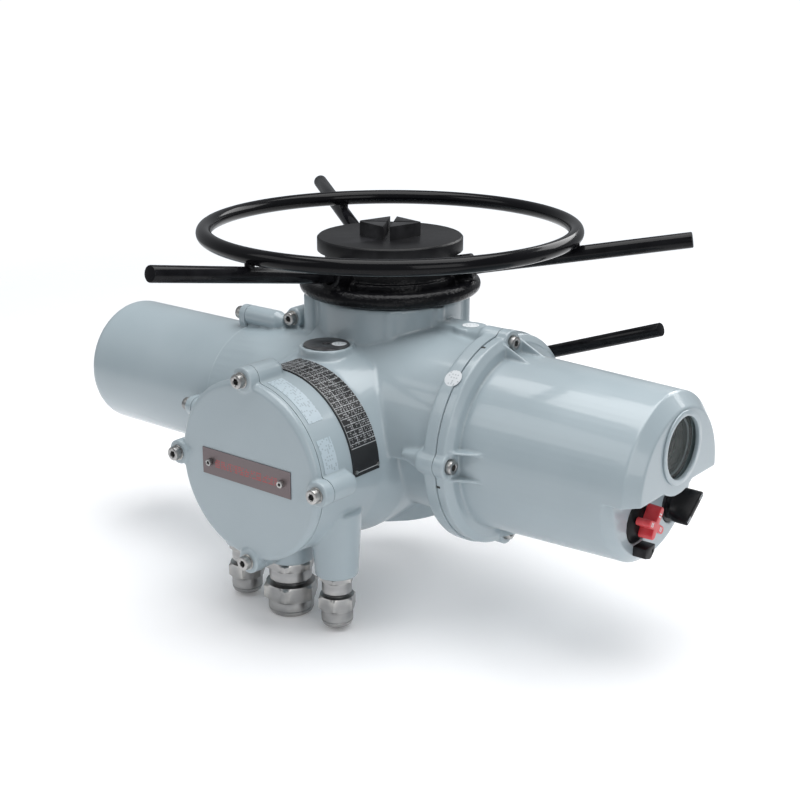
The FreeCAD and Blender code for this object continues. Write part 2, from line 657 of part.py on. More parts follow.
shaft_start = "motor_seam + end_bearing + 2"
shaft_end = "outboard_seat + race_width + 1"
worm_from = f"{shaft_start} - worm_long / 2"
worm_to = f"{shaft_start} + worm_long / 2"
shaft_blank = turned("worm_shaft_blank", [
    ("0", "0"),
    ("shaft_radius", "0"),
    ("shaft_radius", worm_from),
    ("worm_radius", f"{worm_from} + 4"),
    ("worm_radius", f"{worm_to} - 4"),
    ("shaft_radius", worm_to),
    ("shaft_radius", f"{shaft_start} + {shaft_end}"),
    ("0", f"{shaft_start} + {shaft_end}"),
], shift(worm_axis, "-X", shaft_start), "+X")
thread_grooves = []
for turn_index in range(-3, 4):
    groove_at = shift(worm_axis, "+X", f"{turn_index} * worm_lead")
    thread_grooves.append(torus("worm_groove", "worm_radius + 0.6", "2", groove_at, "+X"))
node("worm_shaft", cut("worm_shaft_threaded", shaft_blank, *thread_grooves))
rotor_at = shift(worm_axis, "-X", "motor_seam + 145")
node("rotor", tube("rotor_core", "shaft_radius", "rotor_radius", "rotor_long", rotor_at, "+X"))
node("stator", tube("stator_core", "stator_bore", "motor_bore", "stator_long",
                    shift(worm_axis, "-X", "motor_seam + 150"), "+X"))
bearings = []
for along in ("-motor_seam - end_bearing", "-motor_seam + 8", "outboard_seat"):
    bearing_at = (along, worm_axis[1], worm_axis[2])
    bearings.append(tube("shaft_bearing", "shaft_radius + running", "race_radius",
                         "race_width", bearing_at, "+X"))
node("shaft_bearings", group("shaft_bearing_set", bearings))


# ---- motor housing ----

motor_long = "motor_end - motor_seam"
motor_shell = turned("motor_shell", [
    ("motor_bore", "0"),
    ("motor_radius", "0"),
    ("motor_radius", motor_long),
    ("0", motor_long),
    ("0", f"{motor_long} - wall"),
    ("race_radius", f"{motor_long} - wall"),
    ("race_radius", "164"),
    ("race_radius + 6", "164"),
    ("race_radius + 6", f"{motor_long} - wall - 4"),
    ("motor_bore", f"{motor_long} - wall - 4"),
], motor_face, "-X")
rounded(motor_shell, "motor_round", "motor_radius", motor_long)
motor_lugs = [motor_shell]
motor_holes = []
motor_screws = []
for angle in quarters:
    lug_at = around("X", motor_face, "motor_circle", angle)
    motor_lugs.append(cylinder("motor_lug_post", "motor_lug", "10", lug_at, "-X"))
    root_at = around("X", motor_face, "motor_circle - motor_lug / 2", angle)
    motor_lugs.append(cylinder("motor_lug_root", "motor_lug", "10", root_at, "-X"))
    motor_holes.append(cylinder("motor_lug_hole", "screw_radius", "10", lug_at, "-X"))
    motor_screws.append(cap_screw("motor_screw", shift(lug_at, "-X", "10"), "-X"))
motor_holes.append(cylinder("motor_inside", "motor_bore", "20", motor_face, "-X"))
motor_groove = seal_ring("motor_groove", "motor_bore + 5", motor_face, "-X")
node("motor_housing", cut("motor_housing_casting", fuse("motor_outside", *motor_lugs),
                          *motor_holes, motor_groove))
node("motor_screws", group("motor_screw_set", motor_screws))
half_seal = cylinder("motor_seal_half", "motor_radius", "10", motor_face, "-X")
node("motor_seal", overlap("motor_seal_ring",
                           seal_ring("motor_seal_round", "motor_bore + 5", motor_face, "-X"),
                           half_seal))


# ---- control cover ----

cover_long = "cover_end - control_seam"
cover_shell = turned("control_shell", [
    ("0", "0"),
    ("control_flange - 1.5", "0"),
    ("control_flange - 1.5", "9"),
    ("control_flange - 9", "14"),
    ("cover_root", "14"),
    ("cover_tip", f"{cover_long} - bevel_long"),
    ("cover_tip - bevel_deep", cover_long),
    ("0", cover_long),
], control_face, "+X")
cover_adds = [cover_shell]
cover_cuts = []
control_screws = []
for angle in quarters:
    lug_at = around("X", control_face, "control_circle", angle)
    seat_at = shift(lug_at, "+X", "9")
    cover_adds.append(cylinder("control_lug", "lug_radius", "12", lug_at, "+X"))
    cover_cuts.append(cylinder("control_lug_hole", "screw_radius", "9", lug_at, "+X"))
    cover_cuts.append(cylinder("control_spot_face", "head_radius + gap", "20", seat_at, "+X"))
    control_screws.append(cap_screw("control_screw", seat_at, "+X"))
# pairs of thin ribs that brace each lug against the cover
for angle in quarters:
    for side in (-1, 1):
        rib_turn = FreeCAD.Rotation(FreeCAD.Vector(1, 0, 0), angle)
        rib = doc.addObject("Part::Wedge", "control_rib")
        bind(rib, Xmin="0", Xmax="42", X2min="0", X2max="1", Ymin="0", Ymax="20",
             Zmin="0", Zmax="2.5", Z2min="0", Z2max="2.5")
        rib_at = around("X", control_face, "cover_root - 6", angle)
        across = f"{side} * (lug_radius + 1) - 1.25"
        rib_at = (f"{rib_at[0]} + 8",
                  f"{rib_at[1]} - ({across}) * sin({angle})",
                  f"{rib_at[2]} + ({across}) * cos({angle})")
        cover_adds.append(place(rib, rib_at, rib_turn))
cover_cuts.append(cylinder("control_inside", "control_bore - 4",
                           f"{pocket_floor} - wall - control_seam", control_face, "+X"))
# display space in the upper half behind the end face
display_round = cylinder("display_round", "cover_tip - bevel_deep - 4", "60",
                         shift(control_axis, "+X", "cover_end - wall - 62"), "+X")
display_slice = box("display_slice", "100", "200", "100",
                    ("cover_end - 80", "-control_offset - 100", "notch_top + 6"))
cover_cuts.append(overlap("display_space", display_round, display_slice))
window_axis = ("0", "-control_offset", "drive_height + window_height")
cover_cuts.append(cylinder("window_hole", "window_radius + bezel_width - 2", "wall",
                           shift(window_axis, "+X", "cover_end - wall"), "+X"))
cover_cuts.append(cylinder("window_way", "window_radius - 3", "4",
                           shift(window_axis, "+X", "cover_end - wall - 3"), "+X"))
# notch for the selectors, open downwards and to the end, clear of the window boss
notch_low = "notch_top - control_flange"
notch_rim = box("notch_rim", "notch_deep + 10", "2 * control_flange", "control_flange",
                (notch_face, "-control_offset - control_flange", notch_low))
window_post = cylinder("window_post", "window_boss", "notch_deep + 10",
                       shift(window_axis, "+X", notch_face), "+X")
cover_cuts.append(cut("notch_open", notch_rim, window_post))
# bevel around the face of the notch
bevel_start = shift(control_axis, "+X", f"{notch_face} - notch_bevel")
bevel_slice = box("notch_bevel_slice", "notch_bevel", "2 * control_flange", "control_flange",
                  (f"{notch_face} - notch_bevel", "-control_offset - control_flange", notch_low))
bevel_core = cone("notch_bevel_core", "cover_tip + 0.6", "cover_tip + 0.6 - notch_bevel",
                  "notch_bevel", bevel_start, "+X")
cover_cuts.append(cut("notch_bevel_ring", bevel_slice, bevel_core))
# pockets and shaft holes of the two selectors
selectors = {"red": ("-red_across", "red_height"), "black": ("black_across", "black_height")}
for colour, (across, height) in selectors.items():
    pocket_at = (pocket_floor, across, height)
    cover_cuts.append(cylinder("selector_pocket", f"{colour}_collar + gap", "pocket_deep",
                               pocket_at, "+X"))
    cover_cuts.append(cylinder("selector_hole", "knob_shaft + running", "wall + 4",
                               shift(pocket_at, "-X", "wall + 2"), "+X"))
cover_cuts.append(seal_ring("control_cover_groove", "control_bore + 6", control_face, "+X"))
node("control_cover", cut("control_cover_casting", fuse("control_outside", *cover_adds),
                          *cover_cuts))
node("control_screws", group("control_screw_set", control_screws))
node("control_seal", seal_ring("control_seal_ring", "control_bore + 6", control_face, "+X"))


# ---- sight glass and what is behind it ----

glass_radius = "window_radius + bezel_width - 2 - gap"
node("window_glass", cylinder("window_disc", glass_radius, "glass_thick - 1",
                              shift(window_axis, "+X", "cover_end - wall + 1"), "+X"))
window_seal_at = shift(window_axis, "+X", "cover_end - wall")
node("window_seal", tube("window_seal_ring", "window_radius - 1", glass_radius, "1",
                         window_seal_at, "+X"))
bezel_at = shift(window_axis, "+X", "cover_end")
bezel_outer = tube("bezel_outer", "window_radius", "window_radius + bezel_width",
                   "bezel_proud", bezel_at, "+X")
bezel_skirt = tube("bezel_skirt", "window_radius", glass_radius, "2",
                   shift(bezel_at, "-X", "2"), "+X")
node("window_bezel", fuse("window_bezel_ring", bezel_outer, bezel_skirt))
module_at = ("cover_end - wall - 24", "-control_offset - 26", "notch_top + 10")
module_case = box("display_case", "20", "52", "50", module_at)
screen_at = ("cover_end - wall - 5", "-control_offset - 21", "notch_top + 18")
module_screen = box("display_screen_pocket", "1", "42", "30", screen_at)
node("display_module", cut("display_module_case", module_case, module_screen))
board_at = ("control_seam + 20", "-control_offset - 50", "drive_height - 30")
node("control_board", box("control_board_plate", "108", "100", "2", board_at))
chips = []
for along, across, long, wide, high in ((14, 14, 26, 26, 4), (52, 12, 14, 34, 8),
                                        (78, 20, 20, 20, 18), (20, 60, 34, 24, 22),
                                        (70, 62, 26, 16, 12)):
    chip_at = (f"{board_at[0]} + {along}", f"{board_at[1]} + {across}", f"{board_at[2]} + 2")
    chips.append(box("control_chip", long, wide, high, chip_at))
node("board_components", group("control_chip_set", chips))


# ---- selector knobs and their collars in the notch ----

collars = [tube(f"{colour}_collar_ring", "knob_shaft + running", f"{colour}_collar",
                f"collar_flange + {colour}_proud", (pocket_floor, across, height), "+X")
           for colour, (across, height) in selectors.items()]
node("selector_collars", group("selector_collar_pair", collars))


def knob_bar(name, start, across, height, long, wide, deep, angle):
    """A straight grip across a knob, turned about the knob's own axis."""
    turn = FreeCAD.Rotation(FreeCAD.Vector(1, 0, 0), angle)
    corner = (start,
              f"({across}) - ({long}) / 2 * cos({angle}) + ({wide}) / 2 * sin({angle})",
              f"({height}) - ({long}) / 2 * sin({angle}) - ({wide}) / 2 * cos({angle})")
    return box(name, deep, long, wide, corner, turn)


def knob(colour, boss, bars):
    """A selector that stands off its collar, with its shaft through the cover."""
    across, height = selectors[colour]
    start = f"{pocket_floor} + collar_flange + {colour}_proud + gap"
    tail = f"{pocket_floor} - wall - 4"
    parts = [
        cylinder(f"{colour}_shaft", "knob_shaft", f"{start} + 1 - ({tail})",
                 (tail, across, height), "+X"),
        cylinder(f"{colour}_boss", boss, f"{colour}_deep - 2", (start, across, height), "+X"),
    ]
    for index, (long, angle) in enumerate(bars):
        parts.append(knob_bar(f"{colour}_bar_{index}", start, across, height, long,
                              f"{colour}_wide", f"{colour}_deep", angle))
    node(f"{colour}_selector", fuse(f"{colour}_selector_knob", *parts))


knob("red", "red_wide", [("34", 150), ("38", 54)])
knob("black", "black_wide", [("39", 38)])
# padlock tab below the red selector, its lip clear of the collar
tab_top = "red_height - red_collar - gap"
tab_low = "red_height - red_collar - 12"
tab_stalk = box("lock_tab_stalk", "12", "10", "5.5",
                (notch_face, "-red_across - 5", f"{tab_top} - 5.5"))
tab_block = box("lock_tab_block", "14", "18", f"{tab_top} - ({tab_low}) - 1",
                (notch_face, "-red_across - 9", tab_low))
tab_eye = cylinder("lock_tab_eye", "3", "13", (f"{notch_face} + 8", "-red_across", tab_low))
node("lock_tab", cut("lock_tab_eyed", fuse("lock_tab_blank", tab_stalk, tab_block), tab_eye))


# ---- terminal compartment ----

block_at = shift(terminal_axis, "-Y", "terminal_floor")
block_disc = cylinder("terminal_disc", "terminal_bore - gap", "12", block_at, "-Y")
block_ring = cylinder("terminal_ring", "terminal_pocket", "8", shift(block_at, "-Y", "12"), "-Y")
node("terminal_block", fuse("terminal_block_moulding", block_disc, block_ring))
studs = []
for count, radius in ((12, "42"), (8, "26")):
    for index in range(count):
        stud_at = around("Y", shift(block_at, "-Y", "20"), radius, 360 / count * index)
        studs.append(cylinder("terminal_stud", "2.5", "12", stud_at, "-Y"))
node("terminal_studs", group("terminal_stud_set", studs))
lid_high = "terminal_face - terminal_seam"
lid = turned("terminal_lid", [
    ("0", "2"),
    ("terminal_bore - 4", "2"),
    ("terminal_bore - 4", "-6"),
    ("terminal_bore - gap", "-6"),
    ("terminal_bore - gap", "0"),
    ("terminal_radius", "0"),
    ("terminal_radius", f"{lid_high} - 4"),
    ("terminal_radius - 4", lid_high),
    ("0", lid_high),
], terminal_face_at, "-Y")
lid_adds = [lid]
lid_cuts = []
terminal_screws = []
for angle in quarters:
    lug_at = around("Y", terminal_face_at, "terminal_circle", angle)
    lid_adds.append(cylinder("terminal_lug", "lug_radius", "11.6", lug_at, "-Y"))
    lid_cuts.append(cylinder("terminal_lug_hole", "screw_radius", "11.6", lug_at, "-Y"))
    terminal_screws.append(cap_screw("terminal_screw", shift(lug_at, "-Y", "11.6"), "-Y"))
badge_at = shift(terminal_axis, "-Y", "terminal_face")
for side in (-1, 1):
    lid_cuts.append(cylinder("badge_hole", "1.6", "6",
                             shift(badge_at, "+X", f"{side} * badge_pitch"), "+Y"))
lid_cuts.append(seal_ring("terminal_lid_groove", "terminal_bore + 4.5", terminal_face_at, "-Y"))
node("terminal_cover", cut("terminal_cover_casting", fuse("terminal_outside", *lid_adds),
                           *lid_cuts))
node("terminal_screws", group("terminal_screw_set", terminal_screws))
node("terminal_seal", seal_ring("terminal_seal_ring", "terminal_bore + 4.5",
                                terminal_face_at, "-Y"))
plate_corner = ("-badge_wide / 2", "-terminal_face - badge_thick",
                "terminal_height - badge_high / 2")
badge_holes = [cylinder("badge_plate_hole", "1.6", "badge_thick",
                        shift(badge_at, "+X", f"{side} * badge_pitch"), "-Y") for side in (-1, 1)]
node("badge_plate", cut("badge_plate_sheet", box("badge_sheet", "badge_wide",
                                                    "badge_thick", "badge_high", plate_corner),
                        *badge_holes))
badge_screws = [cap_screw("badge_screw", shift(shift(badge_at, "-Y", "badge_thick"), "+X",
                                               f"{side} * badge_pitch"), "-Y", "6", "0.4") for side in (-1, 1)]
node("badge_screws", group("badge_screw_set", badge_screws))


# ---- rating plate on the neck, bent to its radius, with four rivets ----

plate_tube = tube("rating_tube", "terminal_radius", "terminal_radius + plate_thick",
                  "plate_wide", shift(terminal_axis, "-Y", "terminal_floor + plate_wide"), "+Y")
plate_window = box("rating_window", "120", "60", "120", ("-14", "-190", "terminal_height"))
rivets = []
for angle in (3, 95):
    for inset in ("4", "plate_wide - 4"):
        lean = FreeCAD.Rotation(FreeCAD.Vector(0, 1, 0), 90 - angle)
        rivet_at = around("Y", shift(terminal_axis, "-Y", f"terminal_floor + {inset}"),
                          "terminal_radius + 0.2", angle)
        rivet = doc.addObject("Part::Cylinder", "rating_rivet")
        bind(rivet, Radius="1.8", Height="plate_thick + 0.8")
        rivets.append(place(rivet, rivet_at, lean))
node("rating_plate", cut("rating_plate_pierced",
                         overlap("rating_plate_sheet", plate_tube, plate_window), *rivets))
node("rating_rivets", group("rating_rivet_set", rivets))


# ---- cable glands ----

def gland(name, side, thread, flats, nut_flats, cable, heights):
    """Body, clamping nut and cable seal of one gland, hanging from its boss."""
    collar, band, neck, hex_high, end = heights
    top = (f"{side} * entry_pitch", "-entry_across", "-entry_drop")
    core = f"{flats} * 0.38"
    body = fuse(name + "_body_blank",
                cylinder(name + "_thread", thread, "16", top),
                hexagon(name + "_collar", flats, collar, top, "-Z"),
                cylinder(name + "_band", f"{flats} * 0.47", f"{collar} + {band}", top, "-Z"),
                cylinder(name + "_core", core, "gland_core", top, "-Z"))
    bore_at = shift(top, "-Z", "gland_core")
    body = cut(name + "_body_bored", body,
               cylinder(name + "_way", f"{cable} + 2.5", "gland_core + 16", bore_at))
    nut_drop = f"{collar} + {band} + {neck}"
    nut_top = shift(top, "-Z", nut_drop)
    nut_long = f"{hex_high} + {end}"
    nut = fuse(name + "_nut_blank",
               hexagon(name + "_hex", nut_flats, hex_high, nut_top, "-Z"),
               cylinder(name + "_nut_round", f"{nut_flats} * 0.47", nut_long, nut_top, "-Z"))
    nut_end = shift(nut_top, "-Z", nut_long)
    nut = cut(name + "_nut_bored", nut,
              cylinder(name + "_nut_seat", core, f"gland_core - ({nut_drop})", nut_top, "-Z"),
              cylinder(name + "_nut_way", f"{cable} + 0.5", nut_long, nut_end, "+Z"))
    seal = tube(name + "_grommet", cable, f"{cable} + 2.5", "gland_seal_long",
                shift(top, "-Z", "gland_seal_top"), "-Z")
    return body, nut, seal


# heights of collar, band, neck, nut hexagon and nut end
small_heights = ("7", "12", "3", "15", "17")
large_heights = ("9", "12", "4", "17", "16")
left_gland = gland("left_gland", -1, "small_entry", 31.6, 34, 8, small_heights)
right_gland = gland("right_gland", 1, "small_entry", 31.6, 34, 8, small_heights)
middle_gland = gland("middle_gland", 0, "large_entry", 46, 50, 14, large_heights)
for left, right, middle, single, plural in zip(left_gland, right_gland, middle_gland,
                                               ("body", "nut", "seal"),
                                               ("bodies", "nuts", "seals")):
    node(f"small_gland_{plural}", group(f"small_gland_{single}_pair", [left, right]))
    node(f"large_gland_{single}", middle)


# ---- oil plug and side screw ----

plug_disc = cylinder("oil_plug_disc", "plug_radius", "6", (*oil_axis[:2], "plug_top - 6"))
plug_thread = cylinder("oil_plug_thread", "14", "18", (*oil_axis[:2], "plug_top - 24"))
plug_key = hexagon("oil_plug_key", "8", "5", (*oil_axis[:2], "plug_top - 5"))
node("oil_plug", cut("oil_plug_keyed", fuse("oil_plug_blank", plug_disc, plug_thread), plug_key))
node("side_screw", cap_screw("side_cap_screw", side_at, "-Y", "tap_deep"))


# ---- declutch lever ----

boss_face = shift(lever_axis, "+Y", "boss_back")
coil_path = doc.addObject("Part::Helix", "lever_spring_path")
bind(coil_path, Radius="lever_shaft + 3", Pitch="3", Height="9")
place(coil_path, shift(lever_axis, "+Y", "boss_back + 2"), turns["+Y"])
coil_wire = doc.addObject("Part::Circle", "lever_spring_wire")
bind(coil_wire, Radius="1")
place(coil_wire, ("lever_across + lever_shaft + 3", "boss_back + 2", "lever_height"),
      turns["+Z"])
coil = doc.addObject("Part::Sweep", "lever_spring_coil")
coil.Sections = [coil_wire]
coil.Spine = (coil_path, ["Edge1"])
coil.Solid = True
coil.Frenet = True
node("lever_spring", coil)
node("lever_bush", tube("lever_bush_sleeve", "lever_shaft + running", "lever_shaft + 3.5",
                        "boss_back - 62", shift(lever_axis, "+Y", "62"), "+Y"))
shaft_start_y = "46"
shaft_body = cylinder("lever_shaft_round", "lever_shaft", "lever_plane + 9 - 58",
                      shift(lever_axis, "+Y", "58"), "+Y")
shaft_tail = cylinder("lever_shaft_tail", "6", f"58 - {shaft_start_y}",
                      shift(lever_axis, "+Y", shaft_start_y), "+Y")
finger = box("lever_finger", "29", "6", "7",
             ("lever_across - 29", shaft_start_y, "lever_height - 3.5"))
node("lever_shaft", fuse("lever_shaft_fingered", shaft_body, shaft_tail, finger))
hub_from = shift(lever_axis, "+Y", "boss_back + gap")
hub_blank = turned("lever_hub_blank", [
    ("lever_shaft", "12.5"),
    ("lever_shaft + 5", "12.5"),
    ("lever_shaft + 5", "0"),
    ("14.5", "0"),
    ("16", "2"),
    ("16", "lever_plane - boss_back + 5"),
    ("13", "lever_plane - boss_back + 9"),
    ("lever_shaft", "lever_plane - boss_back + 9"),
], hub_from, "+Y")
rod_turn = FreeCAD.Rotation(FreeCAD.Vector(0, 1, 0), 90 - worth("lever_tilt"))
rod_root = ("lever_across + 13 * cos(lever_tilt)", "lever_plane",
            "lever_height + 13 * sin(lever_tilt)")
rod_blank = doc.addObject("Part::Cylinder", "lever_rod_blank")
bind(rod_blank, Radius="lever_rod", Height="lever_long - 13")
place(rod_blank, rod_root, rod_turn)
socket_blank = doc.addObject("Part::Cylinder", "lever_socket_blank")
bind(socket_blank, Radius="lever_rod + 3", Height="18")
place(socket_blank, ("lever_across + 8 * cos(lever_tilt)", "lever_plane",
                     "lever_height + 8 * sin(lever_tilt)"), rod_turn)
hub_bore = cylinder("lever_hub_bore", "lever_shaft", "40", hub_from, "+Y")
hub_recess = cylinder("lever_hub_recess", "lever_shaft + 5", "12.5", hub_from, "+Y")
node("lever_rod", rod_blank)
hub_hollow = cut("lever_hub_hollow", fuse("lever_hub_outside", hub_blank, socket_blank),
                 hub_recess)
node("lever_hub", cut("lever_hub_socketed", hub_hollow, rod_blank, hub_bore))


# ---- hand wheel: hub, arms, ring and welds ----

arm_angles = [f"arm_turn + {third}" for third in (0, 120, 240)]


def arm_bar(name, angle, start, long, radius):
    """A straight bar on an arm's centre line, from a distance out of the stem axis."""
    tilt = FreeCAD.Rotation(FreeCAD.Vector(0, 1, 0), 90 - worth("arm_tilt"))
    swing = FreeCAD.Rotation(FreeCAD.Vector(0, 0, 1), worth(angle))
    bar = doc.addObject("Part::Cylinder", name)
    bind(bar, Radius=radius, Height=f"({long}) / cos(arm_tilt)")
    centre = ("0", "0", f"arm_base + ({start}) * tan(arm_tilt)")
    return place(bar, around("Z", centre, start, angle), swing.multiply(tilt))


hub_turned = turned("hub_turned", [
    ("cap_plug", "spigot_end"),
    ("hub_spigot", "spigot_end"),
    ("hub_spigot", "column_top + 2"),
    ("rim_radius", "column_top + 4"),
    ("rim_radius", "rim_height + rim_tube"),
    ("rim_radius - 7", "rim_height + rim_tube - 1"),
    ("rim_radius - 9", "rim_height + 2"),
    ("hub_drum + 5", "rim_height + 3"),
    ("hub_drum + 4", "rim_height + 12"),
    ("hub_drum", "rim_height + 13"),
    ("hub_drum", "cap_seat"),
    ("cap_plug", "cap_seat"),
])
hub_adds = [hub_turned, torus("hub_rim", "rim_radius", "rim_tube", ("0", "0", "rim_height"))]
hub_cuts = []
arms = []
welds = []
wheel_ring = torus("wheel_ring", "ring_radius", "rod_radius", ring_centre)
for angle in arm_angles:
    hub_adds.append(arm_bar("hub_socket", angle, "hub_drum - 6", "27", "rod_radius + 6"))
    foot_swing = FreeCAD.Rotation(FreeCAD.Vector(0, 0, 1), worth(angle))
    foot = box("hub_foot", "rim_radius - hub_drum", "2 * rod_radius + 8", "20",
               (f"hub_drum * cos({angle}) + (rod_radius + 4) * sin({angle})",
                f"hub_drum * sin({angle}) - (rod_radius + 4) * cos({angle})",
                "rim_height"), foot_swing)
    hub_adds.append(foot)
    arm = arm_bar("wheel_arm", angle, "arm_root", "arm_reach - arm_root", "rod_radius")
    arms.append(arm)
    hub_cuts.append(arm)
    weld_low = "arm_base + ring_radius * tan(arm_tilt)"
    weld_at = around("Z", ("0", "0", weld_low), "ring_radius", angle)
    weld = cylinder("ring_weld_post", "rod_radius * 0.62", f"{ring_centre[2]} - ({weld_low})",
                    weld_at)
    welds.append(cut("ring_weld", weld, arm, wheel_ring))
hub_cuts.append(cylinder("hub_cap_bore", "cap_plug", "cap_seat - rim_height",
                         ("0", "0", "rim_height")))
hub_cuts.append(seal_ring("hub_cap_groove", "cap_plug + 12", ("0", "0", "cap_seat"), "+Z"))
node("handwheel_hub", cut("handwheel_hub_casting", fuse("hub_outside", *hub_adds), *hub_cuts))
node("handwheel_ring", wheel_ring)
node("handwheel_arms", group("handwheel_arm_set", arms))
node("ring_welds", group("ring_weld_set", welds))
node("hub_bush", tube("hub_bush_sleeve", "sleeve_radius + running", "cap_plug", "46",
                      ("0", "0", "190")))


# ---- stem cap with its four-sided boss ----

cap_top = "cap_seat + cap_thick"
cap_disc = turned("cap_disc", [
    ("stem_bore + 4", "sleeve_top + gap"),
    ("cap_plug - gap / 3", "sleeve_top + gap"),
    ("cap_plug - gap / 3", "cap_seat"),
    ("cap_radius", "cap_seat"),
    ("cap_radius", f"{cap_top} - 1.5"),
    ("cap_radius - 1.5", cap_top),
    ("0", cap_top),
    ("0", f"{cap_top} - 6"),
    ("stem_bore + 4", f"{cap_top} - 6"),
])
block_swing = FreeCAD.Rotation(FreeCAD.Vector(0, 0, 1), worth("block_turn"))
half = "block_side / 2"
block = box("cap_block", "block_side", "block_side", "block_high",
            (f"-{half} * cos(block_turn) + {half} * sin(block_turn)",
             f"-{half} * sin(block_turn) - {half} * cos(block_turn)", cap_top), block_swing)
slots = []
for turn, width in ((45, 7), (-45, 4)):
    angle = f"block_turn + {turn}"
    slot_swing = FreeCAD.Rotation(FreeCAD.Vector(0, 0, 1), worth(angle))
    slots.append(box("cap_slot", "80", str(width), "block_high",
                     (f"-40 * cos({angle}) + {width} / 2 * sin({angle})",
                      f"-40 * sin({angle}) - {width} / 2 * cos({angle})", cap_top), slot_swing))
cap_groove = seal_ring("cap_groove", "cap_plug + 12", ("0", "0", "cap_seat"), "+Z")
cap_blank = fuse("cap_outside", cap_disc, cut("cap_block_slotted", block, *slots))
node("stem_cap", cut("stem_cap_moulding", cap_blank, cap_groove))
node("cap_seal", seal_ring("cap_seal_ring", "cap_plug + 12", ("0", "0", "cap_seat"), "+Z"))


# ---- check every object and write one file for each sub-part ----

doc.recompute()
failed = [piece.Name for piece in doc.Objects
          if "Invalid" in piece.State or "Error" in piece.State]
if failed:
    raise RuntimeError(f"objects that failed: {failed}")
os.makedirs("parts", exist_ok=True)
for name, piece in nodes.items():
    if piece.Shape.isNull() or not piece.Shape.isValid():
        raise RuntimeError(f"{name} has no valid shape")
    piece.Shape.exportStep(f"parts/{name}.step")
    print(f"{name}: {len(piece.Shape.Solids)} solids, {piece.Shape.Volume / 1000:.1f} cm3")
print(f"{len(nodes)} sub-parts written")
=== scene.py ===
import json
import math

import bmesh
import bpy
import numpy as np
from mathutils import Matrix, Vector

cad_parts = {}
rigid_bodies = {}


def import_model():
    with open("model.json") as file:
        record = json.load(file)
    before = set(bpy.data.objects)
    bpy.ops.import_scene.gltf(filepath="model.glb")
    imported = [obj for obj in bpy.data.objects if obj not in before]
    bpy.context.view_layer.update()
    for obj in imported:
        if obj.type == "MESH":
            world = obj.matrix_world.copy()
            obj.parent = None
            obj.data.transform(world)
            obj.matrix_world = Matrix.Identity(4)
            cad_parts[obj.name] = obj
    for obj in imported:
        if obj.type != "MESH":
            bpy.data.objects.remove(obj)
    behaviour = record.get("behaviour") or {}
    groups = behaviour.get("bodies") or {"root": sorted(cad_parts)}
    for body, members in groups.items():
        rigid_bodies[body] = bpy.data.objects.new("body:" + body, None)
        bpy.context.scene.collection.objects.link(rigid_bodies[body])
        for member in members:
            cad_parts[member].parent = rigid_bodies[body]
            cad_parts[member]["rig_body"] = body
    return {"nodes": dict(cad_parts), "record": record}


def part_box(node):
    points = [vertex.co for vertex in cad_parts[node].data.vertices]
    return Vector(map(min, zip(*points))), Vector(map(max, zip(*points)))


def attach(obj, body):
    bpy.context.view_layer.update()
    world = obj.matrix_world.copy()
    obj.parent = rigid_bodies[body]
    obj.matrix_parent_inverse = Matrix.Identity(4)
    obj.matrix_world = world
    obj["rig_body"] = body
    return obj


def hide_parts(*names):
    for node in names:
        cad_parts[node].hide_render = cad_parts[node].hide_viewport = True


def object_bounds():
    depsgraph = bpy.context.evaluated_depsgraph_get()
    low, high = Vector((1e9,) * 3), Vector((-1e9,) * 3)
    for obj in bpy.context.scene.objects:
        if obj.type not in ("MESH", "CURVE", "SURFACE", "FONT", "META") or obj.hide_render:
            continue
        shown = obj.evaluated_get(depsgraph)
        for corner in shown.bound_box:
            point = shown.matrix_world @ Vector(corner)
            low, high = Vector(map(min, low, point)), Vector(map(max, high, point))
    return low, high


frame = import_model()
cadLow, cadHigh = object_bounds()
cadNodes = frame["nodes"]
mm = 0.001
print("frame loaded:", len(cadNodes), "nodes")


# mesh helpers: profiles and sizes in millimetres, pieces in metres


def facing(spot, direction):
    # z axis turned to a direction, at a place in metres
    turn = Vector(direction).to_track_quat("Z", "Y").to_matrix().to_4x4()
    return Matrix.Translation(spot) @ turn


def finishPiece(mesh, name, material, body, replaced=(), angle=32):
    piece = bpy.data.objects.new(name, mesh)
    bpy.context.scene.collection.objects.link(piece)
    mesh.shade_smooth()
    mesh.set_sharp_from_angle(angle=math.radians(angle))
    mesh.materials.clear()
    mesh.materials.append(material)
    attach(piece, body)
    if replaced:
        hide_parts(*replaced)
    return piece


def standIn(mesh, node, material, suffix="fine", angle=32):
    # a piece that takes a CAD node's place and body
    return finishPiece(mesh, node + "_" + suffix, material, cadNodes[node]["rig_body"],
                       (node,), angle)


def reachAt(point, angle):
    # radius of a profile point; one with a third value is a hexagon cut by a circle
    if len(point) == 2:
        return point[0]
    across = point[0] / math.cos(angle % (math.pi / 3) - math.pi / 6)
    return min(across, point[2])


def latheInto(bm, profile, segments, matrix):
    # turns a closed run of (radius, height) points about z
    rings = []
    for point in profile:
        if point[0] <= 0:
            rings.append([bm.verts.new(matrix @ Vector((0, 0, point[1] * mm)))])
            continue
        ring = []
        for step in range(segments):
            angle = 2 * math.pi * step / segments
            far = reachAt(point, angle) * mm
            spot = Vector((far * math.cos(angle), far * math.sin(angle), point[1] * mm))
            ring.append(bm.verts.new(matrix @ spot))
        rings.append(ring)
    closed = len(rings[0]) > 1
    following = rings[1:] + rings[:1] if closed else rings[1:]
    for lower, upper in zip(rings, following):
        for step in range(segments):
            after = (step + 1) % segments
            if len(lower) == 1:
                bm.faces.new((lower[0], upper[after], upper[step]))
            elif len(upper) == 1:
                bm.faces.new((lower[step], lower[after], upper[0]))
            else:
                bm.faces.new((lower[step], lower[after], upper[after], upper[step]))


